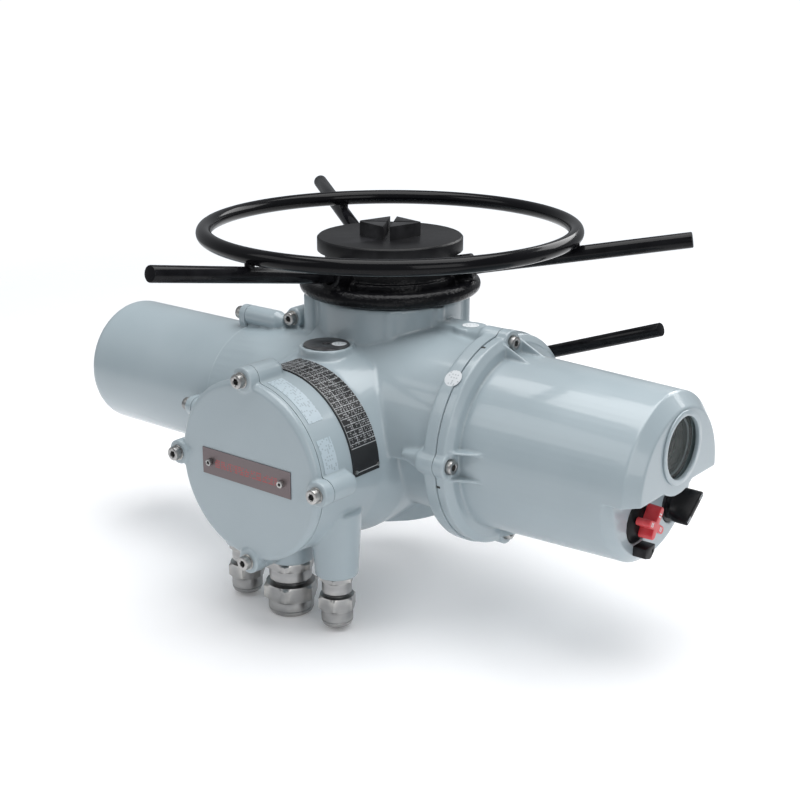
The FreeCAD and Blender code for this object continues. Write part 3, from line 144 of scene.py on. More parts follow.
def boxInto(bm, size, matrix, edge):
    # a block with bevelled edges, centred on a matrix
    made = bmesh.ops.create_cube(bm, size=1)
    for vert in made["verts"]:
        vert.co = Vector(part * side * mm for part, side in zip(vert.co, size))
    edges = list({line for vert in made["verts"] for line in vert.link_edges})
    shaped = bmesh.ops.bevel(bm, geom=edges, offset=edge * mm, segments=2, profile=0.6,
                             affect="EDGES")
    corners = {vert for face in shaped["faces"] for vert in face.verts}
    for vert in corners:
        vert.co = matrix @ vert.co


def toMesh(bm, name):
    bmesh.ops.recalc_face_normals(bm, faces=bm.faces)
    mesh = bpy.data.meshes.new(name)
    bm.to_mesh(mesh)
    bm.free()
    return mesh


def middleOf(node):
    # the middle of a node's box, in millimetres
    low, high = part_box(node)
    return (low + high) / 2 / mm


copySettings = {"weld": 0.004, "flatWithin": 0.4}


def copyOfNode(node):
    # a node's mesh with its doubled points welded and its flat faces merged
    mesh = cadNodes[node].data.copy()
    bm = bmesh.new()
    bm.from_mesh(mesh)
    bmesh.ops.remove_doubles(bm, verts=bm.verts, dist=copySettings["weld"] * mm)
    bmesh.ops.dissolve_limit(bm, angle_limit=math.radians(copySettings["flatWithin"]),
                             verts=bm.verts, edges=bm.edges)
    bm.to_mesh(mesh)
    bm.free()
    return mesh


def modified(mesh, name, kind, settings):
    # a mesh after one modifier
    blank = bpy.data.objects.new(name + "Blank", mesh)
    bpy.context.scene.collection.objects.link(blank)
    modifier = blank.modifiers.new("shape", kind)
    for key, value in settings.items():
        setattr(modifier, key, value)
    graph = bpy.context.evaluated_depsgraph_get()
    result = bpy.data.meshes.new_from_object(blank.evaluated_get(graph))
    bpy.data.objects.remove(blank)
    return result


def rounded(mesh, name, width, angle):
    # sharp edges turned into small rounds
    return modified(mesh, name, "BEVEL", {
        "width": width * mm, "segments": 2, "limit_method": "ANGLE",
        "angle_limit": math.radians(angle), "use_clamp_overlap": True})


def softened(node, material, width):
    # a CAD node with its sharp edges rounded
    standIn(rounded(copyOfNode(node), node, width, 28), node, material, "soft")


def meshPoints(mesh):
    points = np.empty(len(mesh.vertices) * 3)
    mesh.vertices.foreach_get("co", points)
    return points.reshape(-1, 3)


castSettings = {"pull": 0.55, "overlong": 5, "joinOverlap": 3, "joint": 0.42, "onPlane": 0.01}


def smoothVertices(mesh, rounds):
    # pulls each vertex to its neighbours' mean
    points = meshPoints(mesh)
    count = len(points)
    edges = np.empty(len(mesh.edges) * 2, int)
    mesh.edges.foreach_get("vertices", edges)
    first, second = edges.reshape(-1, 2).T
    degree = np.maximum(np.bincount(np.concatenate((first, second)), minlength=count), 1)
    for turn in range(rounds):
        for axis in range(3):
            line = points[:, axis]
            total = (np.bincount(first, line[second], count)
                     + np.bincount(second, line[first], count))
            points[:, axis] += (total / degree - line) * castSettings["pull"]
    mesh.vertices.foreach_set("co", points.ravel())
    mesh.update()


def slicedAt(mesh, seams):
    # cuts the overlong ends back to the joint faces, crisp, and closes them
    bm = bmesh.new()
    bm.from_mesh(mesh)
    for axis, plane, side in seams:
        normal = Vector((0, 0, 0))
        normal[axis] = side
        spot = Vector((0, 0, 0))
        spot[axis] = (plane - side * castSettings["joint"]) * mm
        cut = bmesh.ops.bisect_plane(bm, geom=bm.verts[:] + bm.edges[:] + bm.faces[:],
                                     plane_co=spot, plane_no=normal, clear_outer=True)
        rim = [part for part in cut["geom_cut"] if isinstance(part, bmesh.types.BMEdge)]
        bmesh.ops.triangle_fill(bm, edges=rim, use_beauty=False, normal=normal)
    bm.to_mesh(mesh)
    bm.free()


def pushedOut(mesh, planes, distance):
    # moves the points that lie on some planes
    points = meshPoints(mesh)
    for axis, plane, side in planes:
        ends = np.abs(points[:, axis] - plane * mm) < castSettings["onPlane"] * mm
        points[ends, axis] += side * distance * mm
    mesh.vertices.foreach_set("co", points.ravel())


def castSkin(nodes, material, settings):
    # castings remeshed and smoothed so that their inner corners blend like cast metal
    bm = bmesh.new()
    for index, node in enumerate(nodes):
        mesh = copyOfNode(node)
        pushedOut(mesh, settings["seams"], castSettings["overlong"])
        if index:
            pushedOut(mesh, settings["joins"], castSettings["joinOverlap"])
        bm.from_mesh(mesh)
    mesh = bpy.data.meshes.new(nodes[0])
    bm.to_mesh(mesh)
    bm.free()
    mesh = modified(mesh, nodes[0], "REMESH", {"mode": "VOXEL",
                                               "voxel_size": settings["voxel"] * mm})
    smoothVertices(mesh, settings["rounds"])
    slicedAt(mesh, settings["seams"])
    finishPiece(mesh, nodes[0] + "_skin", material, cadNodes[nodes[0]]["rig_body"],
                nodes, angle=50)


# shader helpers

def addNode(tree, kind, **settings):
    made = tree.nodes.new(kind)
    for key, value in settings.items():
        setattr(made, key, value)
    return made


def newGroup(name, inputs, outputs):
    group = bpy.data.node_groups.new(name, "ShaderNodeTree")
    for label, kind, value in inputs:
        socket = group.interface.new_socket(name=label, in_out="INPUT", socket_type=kind)
        socket.default_value = value
    for label, kind in outputs:
        group.interface.new_socket(name=label, in_out="OUTPUT", socket_type=kind)
    return group, group.nodes.new("NodeGroupInput"), group.nodes.new("NodeGroupOutput")


def maths(tree, operation, first, second=None):
    made = addNode(tree, "ShaderNodeMath", operation=operation)
    for index, value in enumerate((first, second)):
        if value is None:
            continue
        if isinstance(value, (int, float)):
            made.inputs[index].default_value = value
        else:
            tree.links.new(value, made.inputs[index])
    return made.outputs[0]


def band(tree, value, middle, half):
    # 1 within half of the middle
    off = maths(tree, "ABSOLUTE", maths(tree, "SUBTRACT", value, middle))
    return maths(tree, "LESS_THAN", off, half)


def mixColours(tree, mask, first, second):
    made = addNode(tree, "ShaderNodeMix", data_type="RGBA")
    for socket, value in ((made.inputs["Factor"], mask), (made.inputs[6], first),
                          (made.inputs[7], second)):
        if hasattr(value, "links"):
            tree.links.new(value, socket)
        else:
            socket.default_value = value
    return made.outputs[2]


def ranged(tree, value, low, high, toLow=0.0, toHigh=1.0):
    made = addNode(tree, "ShaderNodeMapRange", clamp=True)
    tree.links.new(value, made.inputs["Value"])
    made.inputs["From Min"].default_value = low
    made.inputs["From Max"].default_value = high
    made.inputs["To Min"].default_value = toLow
    made.inputs["To Max"].default_value = toHigh
    return made.outputs["Result"]


def scaledCoordinates(tree, scale):
    # the object's own coordinates in millimetres, stretched by a vector
    place = addNode(tree, "ShaderNodeTexCoord")
    mapping = addNode(tree, "ShaderNodeMapping")
    mapping.inputs["Scale"].default_value = [1000 * part for part in scale]
    tree.links.new(place.outputs["Object"], mapping.inputs["Vector"])
    return mapping.outputs["Vector"]


def makeSheenWearAndShadeGroup():
    # outer edges, lightened as painted highlight and as wear, and inner corners, darkened as
    # painted shade, as two masks
    group, entry, leave = newGroup(
        "cornerMasks",
        [("Breakup Scale", "NodeSocketFloat", 60.0)],
        [("Edge", "NodeSocketFloat"), ("CreviceShade", "NodeSocketFloat")])
    shape = addNode(group, "ShaderNodeNewGeometry")
    place = addNode(group, "ShaderNodeTexCoord")
    breakup = addNode(group, "ShaderNodeTexNoise")
    group.links.new(place.outputs["Object"], breakup.inputs["Vector"])
    group.links.new(entry.outputs["Breakup Scale"], breakup.inputs["Scale"])
    # outer edges: the mask for a lighter colour, painted highlight and also edge wear
    edge = ranged(group, shape.outputs["Pointiness"], 0.515, 0.56)
    broken = maths(group, "MULTIPLY", edge, ranged(group, breakup.outputs["Fac"], 0.35, 0.65))
    group.links.new(broken, leave.inputs["Edge"])
    # inner corners: the mask for a darker colour, painted shade
    creviceShade = ranged(group, shape.outputs["Pointiness"], 0.49, 0.42)
    group.links.new(creviceShade, leave.inputs["CreviceShade"])
    return group


def makeFinishGroup():
    # a fine surface height and a slow mottle, both from noise
    group, entry, leave = newGroup(
        "finishGrain",
        [("Vector", "NodeSocketVector", (0, 0, 0)), ("Fine Scale", "NodeSocketFloat", 0.8),
         ("Mottle Scale", "NodeSocketFloat", 0.02)],
        [("Height", "NodeSocketFloat"), ("Mottle", "NodeSocketFloat")])
    fine = addNode(group, "ShaderNodeTexNoise")
    fine.inputs["Detail"].default_value = 3.0
    group.links.new(entry.outputs["Vector"], fine.inputs["Vector"])
    group.links.new(entry.outputs["Fine Scale"], fine.inputs["Scale"])
    slow = addNode(group, "ShaderNodeTexNoise")
    slow.inputs["Detail"].default_value = 5.0
    group.links.new(entry.outputs["Vector"], slow.inputs["Vector"])
    group.links.new(entry.outputs["Mottle Scale"], slow.inputs["Scale"])
    group.links.new(fine.outputs["Fac"], leave.inputs["Height"])
    group.links.new(ranged(group, slow.outputs["Fac"], 0.3, 0.7), leave.inputs["Mottle"])
    return group


def makeRowsGroup():
    # short blank marks in rows, as on a filled-in form seen from afar
    group, entry, leave = newGroup(
        "markRows",
        [("Across", "NodeSocketFloat", 0.0), ("Down", "NodeSocketFloat", 0.0),
         ("Mark", "NodeSocketFloat", 1.6), ("Row", "NodeSocketFloat", 2.6),
         ("Fill", "NodeSocketFloat", 0.6)],
        [("Marks", "NodeSocketFloat")])
    rowPlace = maths(group, "DIVIDE", entry.outputs["Down"], entry.outputs["Row"])
    markPlace = maths(group, "DIVIDE", entry.outputs["Across"], entry.outputs["Mark"])
    inRow = maths(group, "FRACT", rowPlace)
    inMark = maths(group, "FRACT", markPlace)
    cell = addNode(group, "ShaderNodeCombineXYZ")
    group.links.new(maths(group, "FLOOR", rowPlace), cell.inputs["X"])
    group.links.new(maths(group, "FLOOR", markPlace), cell.inputs["Y"])
    chance = addNode(group, "ShaderNodeTexWhiteNoise", noise_dimensions="2D")
    group.links.new(cell.outputs["Vector"], chance.inputs["Vector"])
    kept = maths(group, "LESS_THAN", chance.outputs["Value"], entry.outputs["Fill"])
    tall = band(group, inRow, 0.5, 0.27)
    long = band(group, inMark, 0.5, 0.4)
    marks = maths(group, "MULTIPLY", kept, maths(group, "MULTIPLY", tall, long))
    group.links.new(marks, leave.inputs["Marks"])
    return group


cornerMasks = makeSheenWearAndShadeGroup()
finishGrain = makeFinishGroup()
markRows = makeRowsGroup()


def grainNode(tree, look, stretch=(1, 1, 1)):
    made = addNode(tree, "ShaderNodeGroup", node_tree=finishGrain)
    tree.links.new(scaledCoordinates(tree, stretch), made.inputs["Vector"])
    if look:
        made.inputs["Fine Scale"].default_value = look["fineScale"]
        made.inputs["Mottle Scale"].default_value = look["mottleScale"]
    return made


def blankMarks(tree, across, down, look):
    # rows of short marks; across and down are in millimetres
    made = addNode(tree, "ShaderNodeGroup", node_tree=markRows)
    tree.links.new(across, made.inputs["Across"])
    tree.links.new(down, made.inputs["Down"])
    made.inputs["Mark"].default_value = look["mark"]
    made.inputs["Row"].default_value = look["row"]
    made.inputs["Fill"].default_value = look["fill"]
    return made.outputs["Marks"]


def splitPlace(tree, kind="ShaderNodeTexCoord", output="Object"):
    # a point's three coordinates
    place = addNode(tree, kind)
    split = addNode(tree, "ShaderNodeSeparateXYZ")
    tree.links.new(place.outputs[output], split.inputs["Vector"])
    return split.outputs


def fromLow(tree, value, low):
    # millimetres from the low side of a box
    return maths(tree, "MULTIPLY", maths(tree, "SUBTRACT", value, low), 1000.0)


def startMaterial(name):
    material = bpy.data.materials.new(name)
    material.use_nodes = True
    tree = material.node_tree
    return material, tree, tree.nodes["Principled BSDF"]


def grainedMaterial(name, look):
    # one coated or bare solid finish from a dictionary of settings
    material, tree, shader = startMaterial(name)
    grain = grainNode(tree, look, look.get("stretch", (1, 1, 1)))
    corners = addNode(tree, "ShaderNodeGroup", node_tree=cornerMasks)
    base = (*look["colour"], 1)
    second = (*look["second"], 1)
    colour = mixColours(tree, grain.outputs["Mottle"], base, second)
    # inner corners darkened with a painted shade colour
    if "creviceShade" in look:
        dark = maths(tree, "MULTIPLY", corners.outputs["CreviceShade"], look.get("creviceShadeShare", 0.6))
        colour = mixColours(tree, dark, colour, (*look["creviceShade"], 1))
    # outer edges lightened: painted highlight and also edge wear
    if "edge" in look:
        highlightAndWear = maths(tree, "MULTIPLY", corners.outputs["Edge"], look.get("edgeSheenAndWearShare", 0.5))
        colour = mixColours(tree, highlightAndWear, colour, (*look["edge"], 1))
    tree.links.new(colour, shader.inputs["Base Color"])
    low, high = look["roughness"]
    tree.links.new(ranged(tree, grain.outputs["Mottle"], 0, 1, low, high),
                   shader.inputs["Roughness"])
    bump = addNode(tree, "ShaderNodeBump")
    bump.inputs["Strength"].default_value = look["bump"]
    bump.inputs["Distance"].default_value = look.get("bumpDeep", 0.05) * mm
    tree.links.new(grain.outputs["Height"], bump.inputs["Height"])
    tree.links.new(bump.outputs["Normal"], shader.inputs["Normal"])
    shader.inputs["Metallic"].default_value = look.get("metallic", 0.0)
    shader.inputs["Coat Weight"].default_value = look.get("coat", 0.0)
    shader.inputs["Coat Roughness"].default_value = look.get("coatRoughness", 0.08)
    shader.inputs["Specular IOR Level"].default_value = look.get("specular", 0.5)
    return material


# materials; in the looks the edge colour is lighter paint on outer edges, painted highlight and
# wear, and the crevice colour is darker paint in inner corners, painted shade

paintLook = {
    "colour": (0.345, 0.415, 0.450), "second": (0.365, 0.435, 0.470),
    "creviceShade": (0.17, 0.21, 0.23), "creviceShadeShare": 0.6,
    "edge": (0.50, 0.57, 0.60), "edgeSheenAndWearShare": 0.5,
    "fineScale": 0.55, "mottleScale": 0.018, "roughness": (0.30, 0.40),
    "bump": 0.3, "bumpDeep": 0.05, "coat": 0.6, "coatRoughness": 0.10,
}
blackEnamelLook = {
    "colour": (0.003, 0.003, 0.004), "second": (0.005, 0.005, 0.006),
    "edge": (0.03, 0.03, 0.034), "edgeSheenAndWearShare": 0.25,
    "fineScale": 0.35, "mottleScale": 0.02, "roughness": (0.10, 0.17),
    "bump": 0.2, "bumpDeep": 0.05, "specular": 0.17,
}
blackCastLook = dict(blackEnamelLook, fineScale=0.28, bump=1.0, bumpDeep=0.9,
                     roughness=(0.12, 0.24))
capLook = {
    "colour": (0.005, 0.005, 0.006), "second": (0.009, 0.009, 0.010),
    "edge": (0.05, 0.05, 0.055), "edgeSheenAndWearShare": 0.4,
    "fineScale": 1.6, "mottleScale": 0.03, "roughness": (0.30, 0.40),
    "bump": 0.3, "bumpDeep": 0.05, "specular": 0.2,
}
knobBlackLook = dict(capLook, colour=(0.004, 0.004, 0.005), second=(0.007, 0.007, 0.008),
                     roughness=(0.28, 0.40))
redLook = {
    "colour": (0.56, 0.022, 0.032), "second": (0.66, 0.035, 0.045),
    "creviceShade": (0.25, 0.008, 0.012), "edge": (0.85, 0.16, 0.17), "edgeSheenAndWearShare": 0.5,
    "fineScale": 1.2, "mottleScale": 0.06, "roughness": (0.30, 0.42),
    "bump": 0.3, "bumpDeep": 0.05, "coat": 0.2,
}
stainlessLook = {
    "colour": (0.36, 0.36, 0.36), "second": (0.32, 0.32, 0.32),
    "creviceShade": (0.12, 0.115, 0.105), "edge": (0.72, 0.70, 0.66), "edgeSheenAndWearShare": 0.5,
    "stretch": (0.06, 0.06, 5), "fineScale": 0.9, "mottleScale": 0.03,
    "roughness": (0.27, 0.36), "bump": 0.06, "bumpDeep": 0.03, "metallic": 1.0,
}
brushedLook = {
    "colour": (0.205, 0.172, 0.176), "second": (0.200, 0.168, 0.172),
    "stretch": (0.03, 1, 5), "fineScale": 1.4, "mottleScale": 0.03,
    "roughness": (0.46, 0.50), "bump": 0.02, "bumpDeep": 0.03, "metallic": 0.9,
}
darkSteelLook = {
    "colour": (0.075, 0.075, 0.08), "second": (0.11, 0.11, 0.115),
    "edge": (0.30, 0.30, 0.30), "edgeSheenAndWearShare": 0.5,
    "fineScale": 1.0, "mottleScale": 0.06, "roughness": (0.34, 0.46),
    "bump": 0.4, "bumpDeep": 0.04, "metallic": 0.7,
}
bronzeLook = dict(stainlessLook, colour=(0.45, 0.27, 0.10), second=(0.36, 0.21, 0.08))
brassLook = dict(stainlessLook, colour=(0.60, 0.42, 0.15), second=(0.50, 0.34, 0.12))
machinedLook = dict(stainlessLook, colour=(0.42, 0.42, 0.42), second=(0.34, 0.34, 0.345))
laminationLook = dict(darkSteelLook, colour=(0.16, 0.16, 0.165), stretch=(12, 1, 1))
rubberLook = {
    "colour": (0.012, 0.012, 0.012), "second": (0.020, 0.020, 0.020),
    "fineScale": 1.8, "mottleScale": 0.08, "roughness": (0.55, 0.72),
    "bump": 0.5, "bumpDeep": 0.05,
}
boardLook = {
    "colour": (0.010, 0.085, 0.040), "second": (0.014, 0.11, 0.05),
    "fineScale": 0.7, "mottleScale": 0.15, "roughness": (0.30, 0.45),
    "bump": 0.5, "bumpDeep": 0.08, "coat": 0.3,
}
darkPlasticLook = dict(capLook, colour=(0.014, 0.019, 0.017), second=(0.030, 0.036, 0.030),
                       mottleScale=0.4)
mouldingLook = dict(capLook, colour=(0.040, 0.030, 0.026), second=(0.052, 0.040, 0.034))

paint = grainedMaterial("greyPaint", paintLook)
blackEnamel = grainedMaterial("blackEnamel", blackEnamelLook)
blackCast = grainedMaterial("blackCasting", blackCastLook)
capBlack = grainedMaterial("capMoulding", capLook)
knobBlack = grainedMaterial("knobMoulding", knobBlackLook)
redPlastic = grainedMaterial("redMoulding", redLook)
stainless = grainedMaterial("turnedStainless", stainlessLook)
brushedSteel = grainedMaterial("brushedSheet", brushedLook)
darkSteel = grainedMaterial("blackenedSteel", darkSteelLook)
bronze = grainedMaterial("bearingBronze", bronzeLook)
brass = grainedMaterial("studBrass", brassLook)
machined = grainedMaterial("machinedSteel", machinedLook)
laminated = grainedMaterial("laminatedSteel", laminationLook)
rubber = grainedMaterial("sealRubber", rubberLook)
boardGreen = grainedMaterial("circuitBoard", boardLook)
darkPlastic = grainedMaterial("darkMoulding", darkPlasticLook)
terminalBrown = grainedMaterial("terminalMoulding", mouldingLook)


glassLook = {"colour": (0.010, 0.028, 0.024, 1), "second": (0.014, 0.034, 0.030, 1),
             "roughness": 0.03, "alpha": 0.3}


def glassMaterial():
    material, tree, shader = startMaterial("sightGlass")
    grain = grainNode(tree, None)
    tint = mixColours(tree, grain.outputs["Mottle"], glassLook["colour"], glassLook["second"])
    tree.links.new(tint, shader.inputs["Base Color"])
    shader.inputs["Roughness"].default_value = glassLook["roughness"]
    shader.inputs["Alpha"].default_value = glassLook["alpha"]
    return material


sightGlass = glassMaterial()


def lineEvery(tree, value, pitch, width):
    # thin lines at a pitch
    inside = maths(tree, "FRACT", maths(tree, "DIVIDE", value, pitch))
    return maths(tree, "LESS_THAN", inside, width / pitch)


ratingSettings = {"rowPitch": 6.4, "line": 0.4, "columns": (2.0, 13.0, 24.0, 38.0),
                  "blankUpTo": 30.0, "mark": 1.0, "row": 2.1, "fill": 0.34, "markShare": 0.7,
                  "blankFrame": (4.0, 28.0), "frameHalf": 0.3, "roughness": (0.28, 0.40),
                  "ink": (0.50, 0.52, 0.53, 1), "colour": (0.010, 0.010, 0.011, 1),
                  "second": (0.016, 0.016, 0.017, 1)}


def ratingMaterial():
    # black plate with a white ruled form, its fields filled with short blank marks
    material, tree, shader = startMaterial("printedPlate")
    low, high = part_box("rating_plate")
    look = ratingSettings
    place = splitPlace(tree)
    turn = maths(tree, "ARCTAN2", maths(tree, "SUBTRACT", place["Z"], low.z), place["X"])
    along = maths(tree, "MULTIPLY", turn, high.x / mm)
    across = fromLow(tree, place["Y"], low.y)
    field = maths(tree, "GREATER_THAN", along, look["blankUpTo"])
    lines = lineEvery(tree, along, look["rowPitch"], look["line"])
    for spot in look["columns"]:
        lines = maths(tree, "MAXIMUM", lines, band(tree, across, spot, look["line"] / 2))
    first, last = look["columns"][0], look["columns"][-1]
    inside = band(tree, across, (first + last) / 2, (last - first) / 2 + look["line"] / 2)
    marks = maths(tree, "MULTIPLY", blankMarks(tree, across, along, look), look["markShare"])
    printed = maths(tree, "MAXIMUM", lines, marks)
    printed = maths(tree, "MULTIPLY", maths(tree, "MULTIPLY", printed, inside), field)
    frameLine = maths(tree, "MAXIMUM", *(band(tree, along, spot, look["frameHalf"])
                                         for spot in look["blankFrame"]))
    printed = maths(tree, "MAXIMUM", printed, maths(tree, "MULTIPLY", frameLine, inside))
    grain = grainNode(tree, None)
    sheet = mixColours(tree, grain.outputs["Mottle"], look["colour"], look["second"])
    tree.links.new(mixColours(tree, printed, sheet, look["ink"]), shader.inputs["Base Color"])
    tree.links.new(ranged(tree, grain.outputs["Mottle"], 0, 1, *look["roughness"]),
                   shader.inputs["Roughness"])
    return material


badgeSettings = {"half": (42.0, 4.2), "mark": 1.7, "row": 2.2, "fill": 0.72, "group": 8.0,
                 "gap": 1.4, "ink": (0.42, 0.05, 0.05, 1)}


def badgeMaterial():
    # brushed sheet with a row of short red blank marks
    material = brushedSteel.copy()
    material.name = "printedSheet"
    tree = material.node_tree
    shader = tree.nodes["Principled BSDF"]
    low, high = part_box("badge_plate")
    look = badgeSettings
    place = splitPlace(tree)
    across = fromLow(tree, place["X"], low.x)
    down = fromLow(tree, place["Z"], low.z)
    middle = (high - low) / 2 / mm
    window = maths(tree, "MULTIPLY", band(tree, across, middle.x, look["half"][0]),
                   band(tree, down, middle.z, look["half"][1]))
    gaps = maths(tree, "SUBTRACT", 1.0, lineEvery(tree, across, look["group"], look["gap"]))
    marks = blankMarks(tree, across, down, look)
    printed = maths(tree, "MULTIPLY", maths(tree, "MULTIPLY", marks, window), gaps)
    plain = shader.inputs["Base Color"].links[0].from_socket
    tree.links.new(mixColours(tree, printed, plain, look["ink"]), shader.inputs["Base Color"])
    bare = maths(tree, "SUBTRACT", 1.0, printed)
    tree.links.new(maths(tree, "MULTIPLY", bare, brushedLook["metallic"]),
                   shader.inputs["Metallic"])
    return material


printedPlate = ratingMaterial()
printedSheet = badgeMaterial()
print("materials made")

slotMaterials = {
    "grey_paint": paint, "black_gloss": blackEnamel, "black_casting": blackCast,
    "cap_black": capBlack, "satin_black": knobBlack, "dark_plastic": darkPlastic,
    "red_plastic": redPlastic, "stainless": stainless, "machined_steel": machined,
    "oil_plug_steel": darkSteel, "laminations": laminated, "bronze": bronze,
    "brass_studs": brass, "seal_rubber": rubber, "window_glass": sightGlass,
    "circuit_board": boardGreen, "terminal_moulding": terminalBrown,
    "brushed_plate": printedSheet, "black_plate": printedPlate,
}
for row in frame["record"]["subparts"]:
    mesh = cadNodes[row["node"]].data
    mesh.materials.clear()
    mesh.materials.append(slotMaterials[row["material_slot"]])


# castings

caseLow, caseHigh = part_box("terminal_case")
terminalSeam = caseLow.y / mm
terminalRoot = caseHigh.y / mm
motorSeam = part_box("motor_housing")[1].x / mm
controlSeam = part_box("control_cover")[0].x / mm
skinSettings = [
    (("gear_case", "terminal_case"),
     {"voxel": 1.5, "rounds": 4, "joins": [(1, terminalRoot, 1)],
      "seams": [(1, terminalSeam, -1), (0, controlSeam, 1), (0, motorSeam, -1)]}),
    (("control_cover",), {"voxel": 1.1, "rounds": 2, "seams": [(0, controlSeam, -1)]}),
    (("motor_housing",), {"voxel": 1.5, "rounds": 3, "seams": [(0, motorSeam, 1)]}),
    (("terminal_cover",), {"voxel": 1.2, "rounds": 2, "seams": [(1, terminalSeam, 1)]}),
]
hubSettings = {"voxel": 1.3, "rounds": 3, "seams": []}
for nodes, settings in skinSettings:
    castSkin(nodes, paint, settings)
    print("casting:", nodes[0])
castSkin(("handwheel_hub",), blackCast, hubSettings)
print("casting: handwheel_hub")


beadSettings = {"reach": 72.3, "steps": 160,
                "shape": ((-1.5, 0.45), (0.2, 0.45), (0.6, 0.8), (0.6, 1.5), (0.3, 2.0),
                          (-1.5, 2.2))}


def seamBead():
    # the rounded rim of the motor shoulder beside its joint
    look = beadSettings
    middle = middleOf("motor_screws")
    place = facing(Vector((motorSeam, middle.y, middle.z)) * mm, (1, 0, 0))
    bm = bmesh.new()
    latheInto(bm, [(look["reach"] + out, rise) for out, rise in look["shape"]], look["steps"],
              place)
    finishPiece(toMesh(bm, "bead"), "motor_seam_bead", paint, "housing")


seamBead()


# cap screws

screwSettings = {"headRadius": 6.95, "headHigh": 8.0, "washerRadius": 7.9, "washerHigh": 1.5,
                 "key": 3.0, "keyDeep": 4.2, "ridges": 36, "ridgeDeep": 0.16,
                 "ridgeWide": 0.62, "badgeShare": 1.25}


def screwInto(bm, spot, away, scale=1.0, washer=True):
    # a socket head with a knurled side on its washer; spot is the seat of the washer
    look = screwSettings
    top = look["headHigh"] * scale
    far = look["headRadius"] * scale
    key = look["key"] * scale
    low = look["washerHigh"] * scale if washer else 0.0
    place = facing(spot, away)
    latheInto(bm, [
        (0, top - look["keyDeep"] * scale),
        (key, top - look["keyDeep"] * scale, key * 1.16),
        (key, top - 0.5 * scale, key * 1.16),
        (key * 1.28, top),
        (far - 0.9 * scale, top),
        (far - 0.2 * scale, top - 0.35 * scale),
        (far, top - 1.0 * scale),
        (far, low + 0.3 * scale),
        (far - 0.3 * scale, low + 0.05 * scale),
        (0, low + 0.05 * scale),
    ], 72, place)
    ridge = look["ridgeDeep"] * scale
    for index in range(look["ridges"]):
        angle = 2 * math.pi * index / look["ridges"]
        out = Vector((math.cos(angle), math.sin(angle), 0)) * far * mm
        middle = (top + low) / 2 * mm
        turn = Matrix.Rotation(angle, 4, "Z")
        lift = Matrix.Translation(out + Vector((0, 0, middle)))
        boxInto(bm, (ridge * 2, look["ridgeWide"] * scale, top - low - 2.6 * scale),
                place @ lift @ turn, 0.12 * scale)
    if washer:
        rim = look["washerRadius"] * scale
        latheInto(bm, [(0, 0), (rim - 0.2, 0), (rim, 0.2), (rim, low - 0.3), (rim - 0.35, low),
                       (0, low)], 48, place)


def screwRing(node, axis, side):
    # four screws on a circle, found from their node's box
    low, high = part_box(node)
    across = [index for index in range(3) if index != axis]
    centre = (low + high) / 2
    far = (high[across[0]] - low[across[0]]) / 2 - screwSettings["headRadius"] * mm
    face = high[axis] if side > 0 else low[axis]
    away = Vector((0, 0, 0))
    away[axis] = side
    bm = bmesh.new()
    for quarter in range(4):
        angle = quarter * math.pi / 2
        spot = Vector(centre)
        spot[axis] = face - side * screwSettings["headHigh"] * mm
        spot[across[0]] += far * math.cos(angle)
        spot[across[1]] += far * math.sin(angle)
        screwInto(bm, spot, away)
    standIn(toMesh(bm, node), node, stainless)


screwRing("terminal_screws", 1, -1)
screwRing("control_screws", 0, 1)
screwRing("motor_screws", 0, -1)


def sideScrew():
    low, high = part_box("side_screw")
    spot = Vector(((low.x + high.x) / 2, low.y + screwSettings["headHigh"] * mm,
                   (low.z + high.z) / 2))
    bm = bmesh.new()
    screwInto(bm, spot, (0, -1, 0))
    standIn(toMesh(bm, "side_screw"), "side_screw", stainless)


def badgeScrews():
    low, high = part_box("badge_screws")
    far = (high.z - low.z) / 2
    scale = far / mm / screwSettings["headRadius"]
    bm = bmesh.new()
    for across in (low.x + far, high.x - far):
        spot = Vector((across, low.y + screwSettings["headHigh"] * scale * mm,
                       (low.z + high.z) / 2))
        screwInto(bm, spot, (0, -1, 0), scale * screwSettings["badgeShare"], washer=False)
    standIn(toMesh(bm, "badge_screws"), "badge_screws", stainless)


sideScrew()
badgeScrews()
print("screws made")


# cable glands

glandSettings = {
    "small": {"flats": 31.6, "nutFlats": 34.0, "collar": 7, "band": 12, "neck": 3,
              "hex": 15, "end": 17, "cable": 8.0},
    "large": {"flats": 46.0, "nutFlats": 50.0, "collar": 9, "band": 12, "neck": 4,
              "hex": 17, "end": 16, "cable": 14.0},
}
glandShape = {"core": 0.38, "band": 0.47, "sealTop": 19, "bodyEnd": 33, "pitch": 1.5,
              "steps": 96, "sealSteps": 48}


def hexPoints(flats, low, high, chamfer):
    # a hexagon whose corners are turned off at both ends
    apothem = flats / 2
    corner = apothem / math.cos(math.pi / 6)
    return [(apothem, low, apothem + 0.15), (apothem, low + chamfer, corner),
            (apothem, high - chamfer, corner), (apothem, high, apothem + 0.15)]


def glandBodyInto(bm, top, look):
    core = look["flats"] * glandShape["core"]
    band = look["flats"] * glandShape["band"]
    end = glandShape["bodyEnd"]
    drop = look["collar"] + look["band"]
    profile = [(look["cable"] + 2.5, 0)]
    profile += hexPoints(look["flats"], 0, look["collar"], 1.6)
    profile += [(band, look["collar"] + 0.1), (band + 0.1, look["collar"] + 0.8),
                (band + 0.1, drop - 1.0), (band - 0.8, drop), (core + 0.3, drop)]
    pitch = glandShape["pitch"]
    for index in range(int((end - drop) / pitch)):
        start = drop + 0.2 + index * pitch
        profile += [(core + 0.3, start), (core - 0.6, start + pitch / 2)]
    profile += [(core - 0.6, end), (look["cable"] + 2.5, end)]
    latheInto(bm, profile, glandShape["steps"], facing(top, (0, 0, -1)))


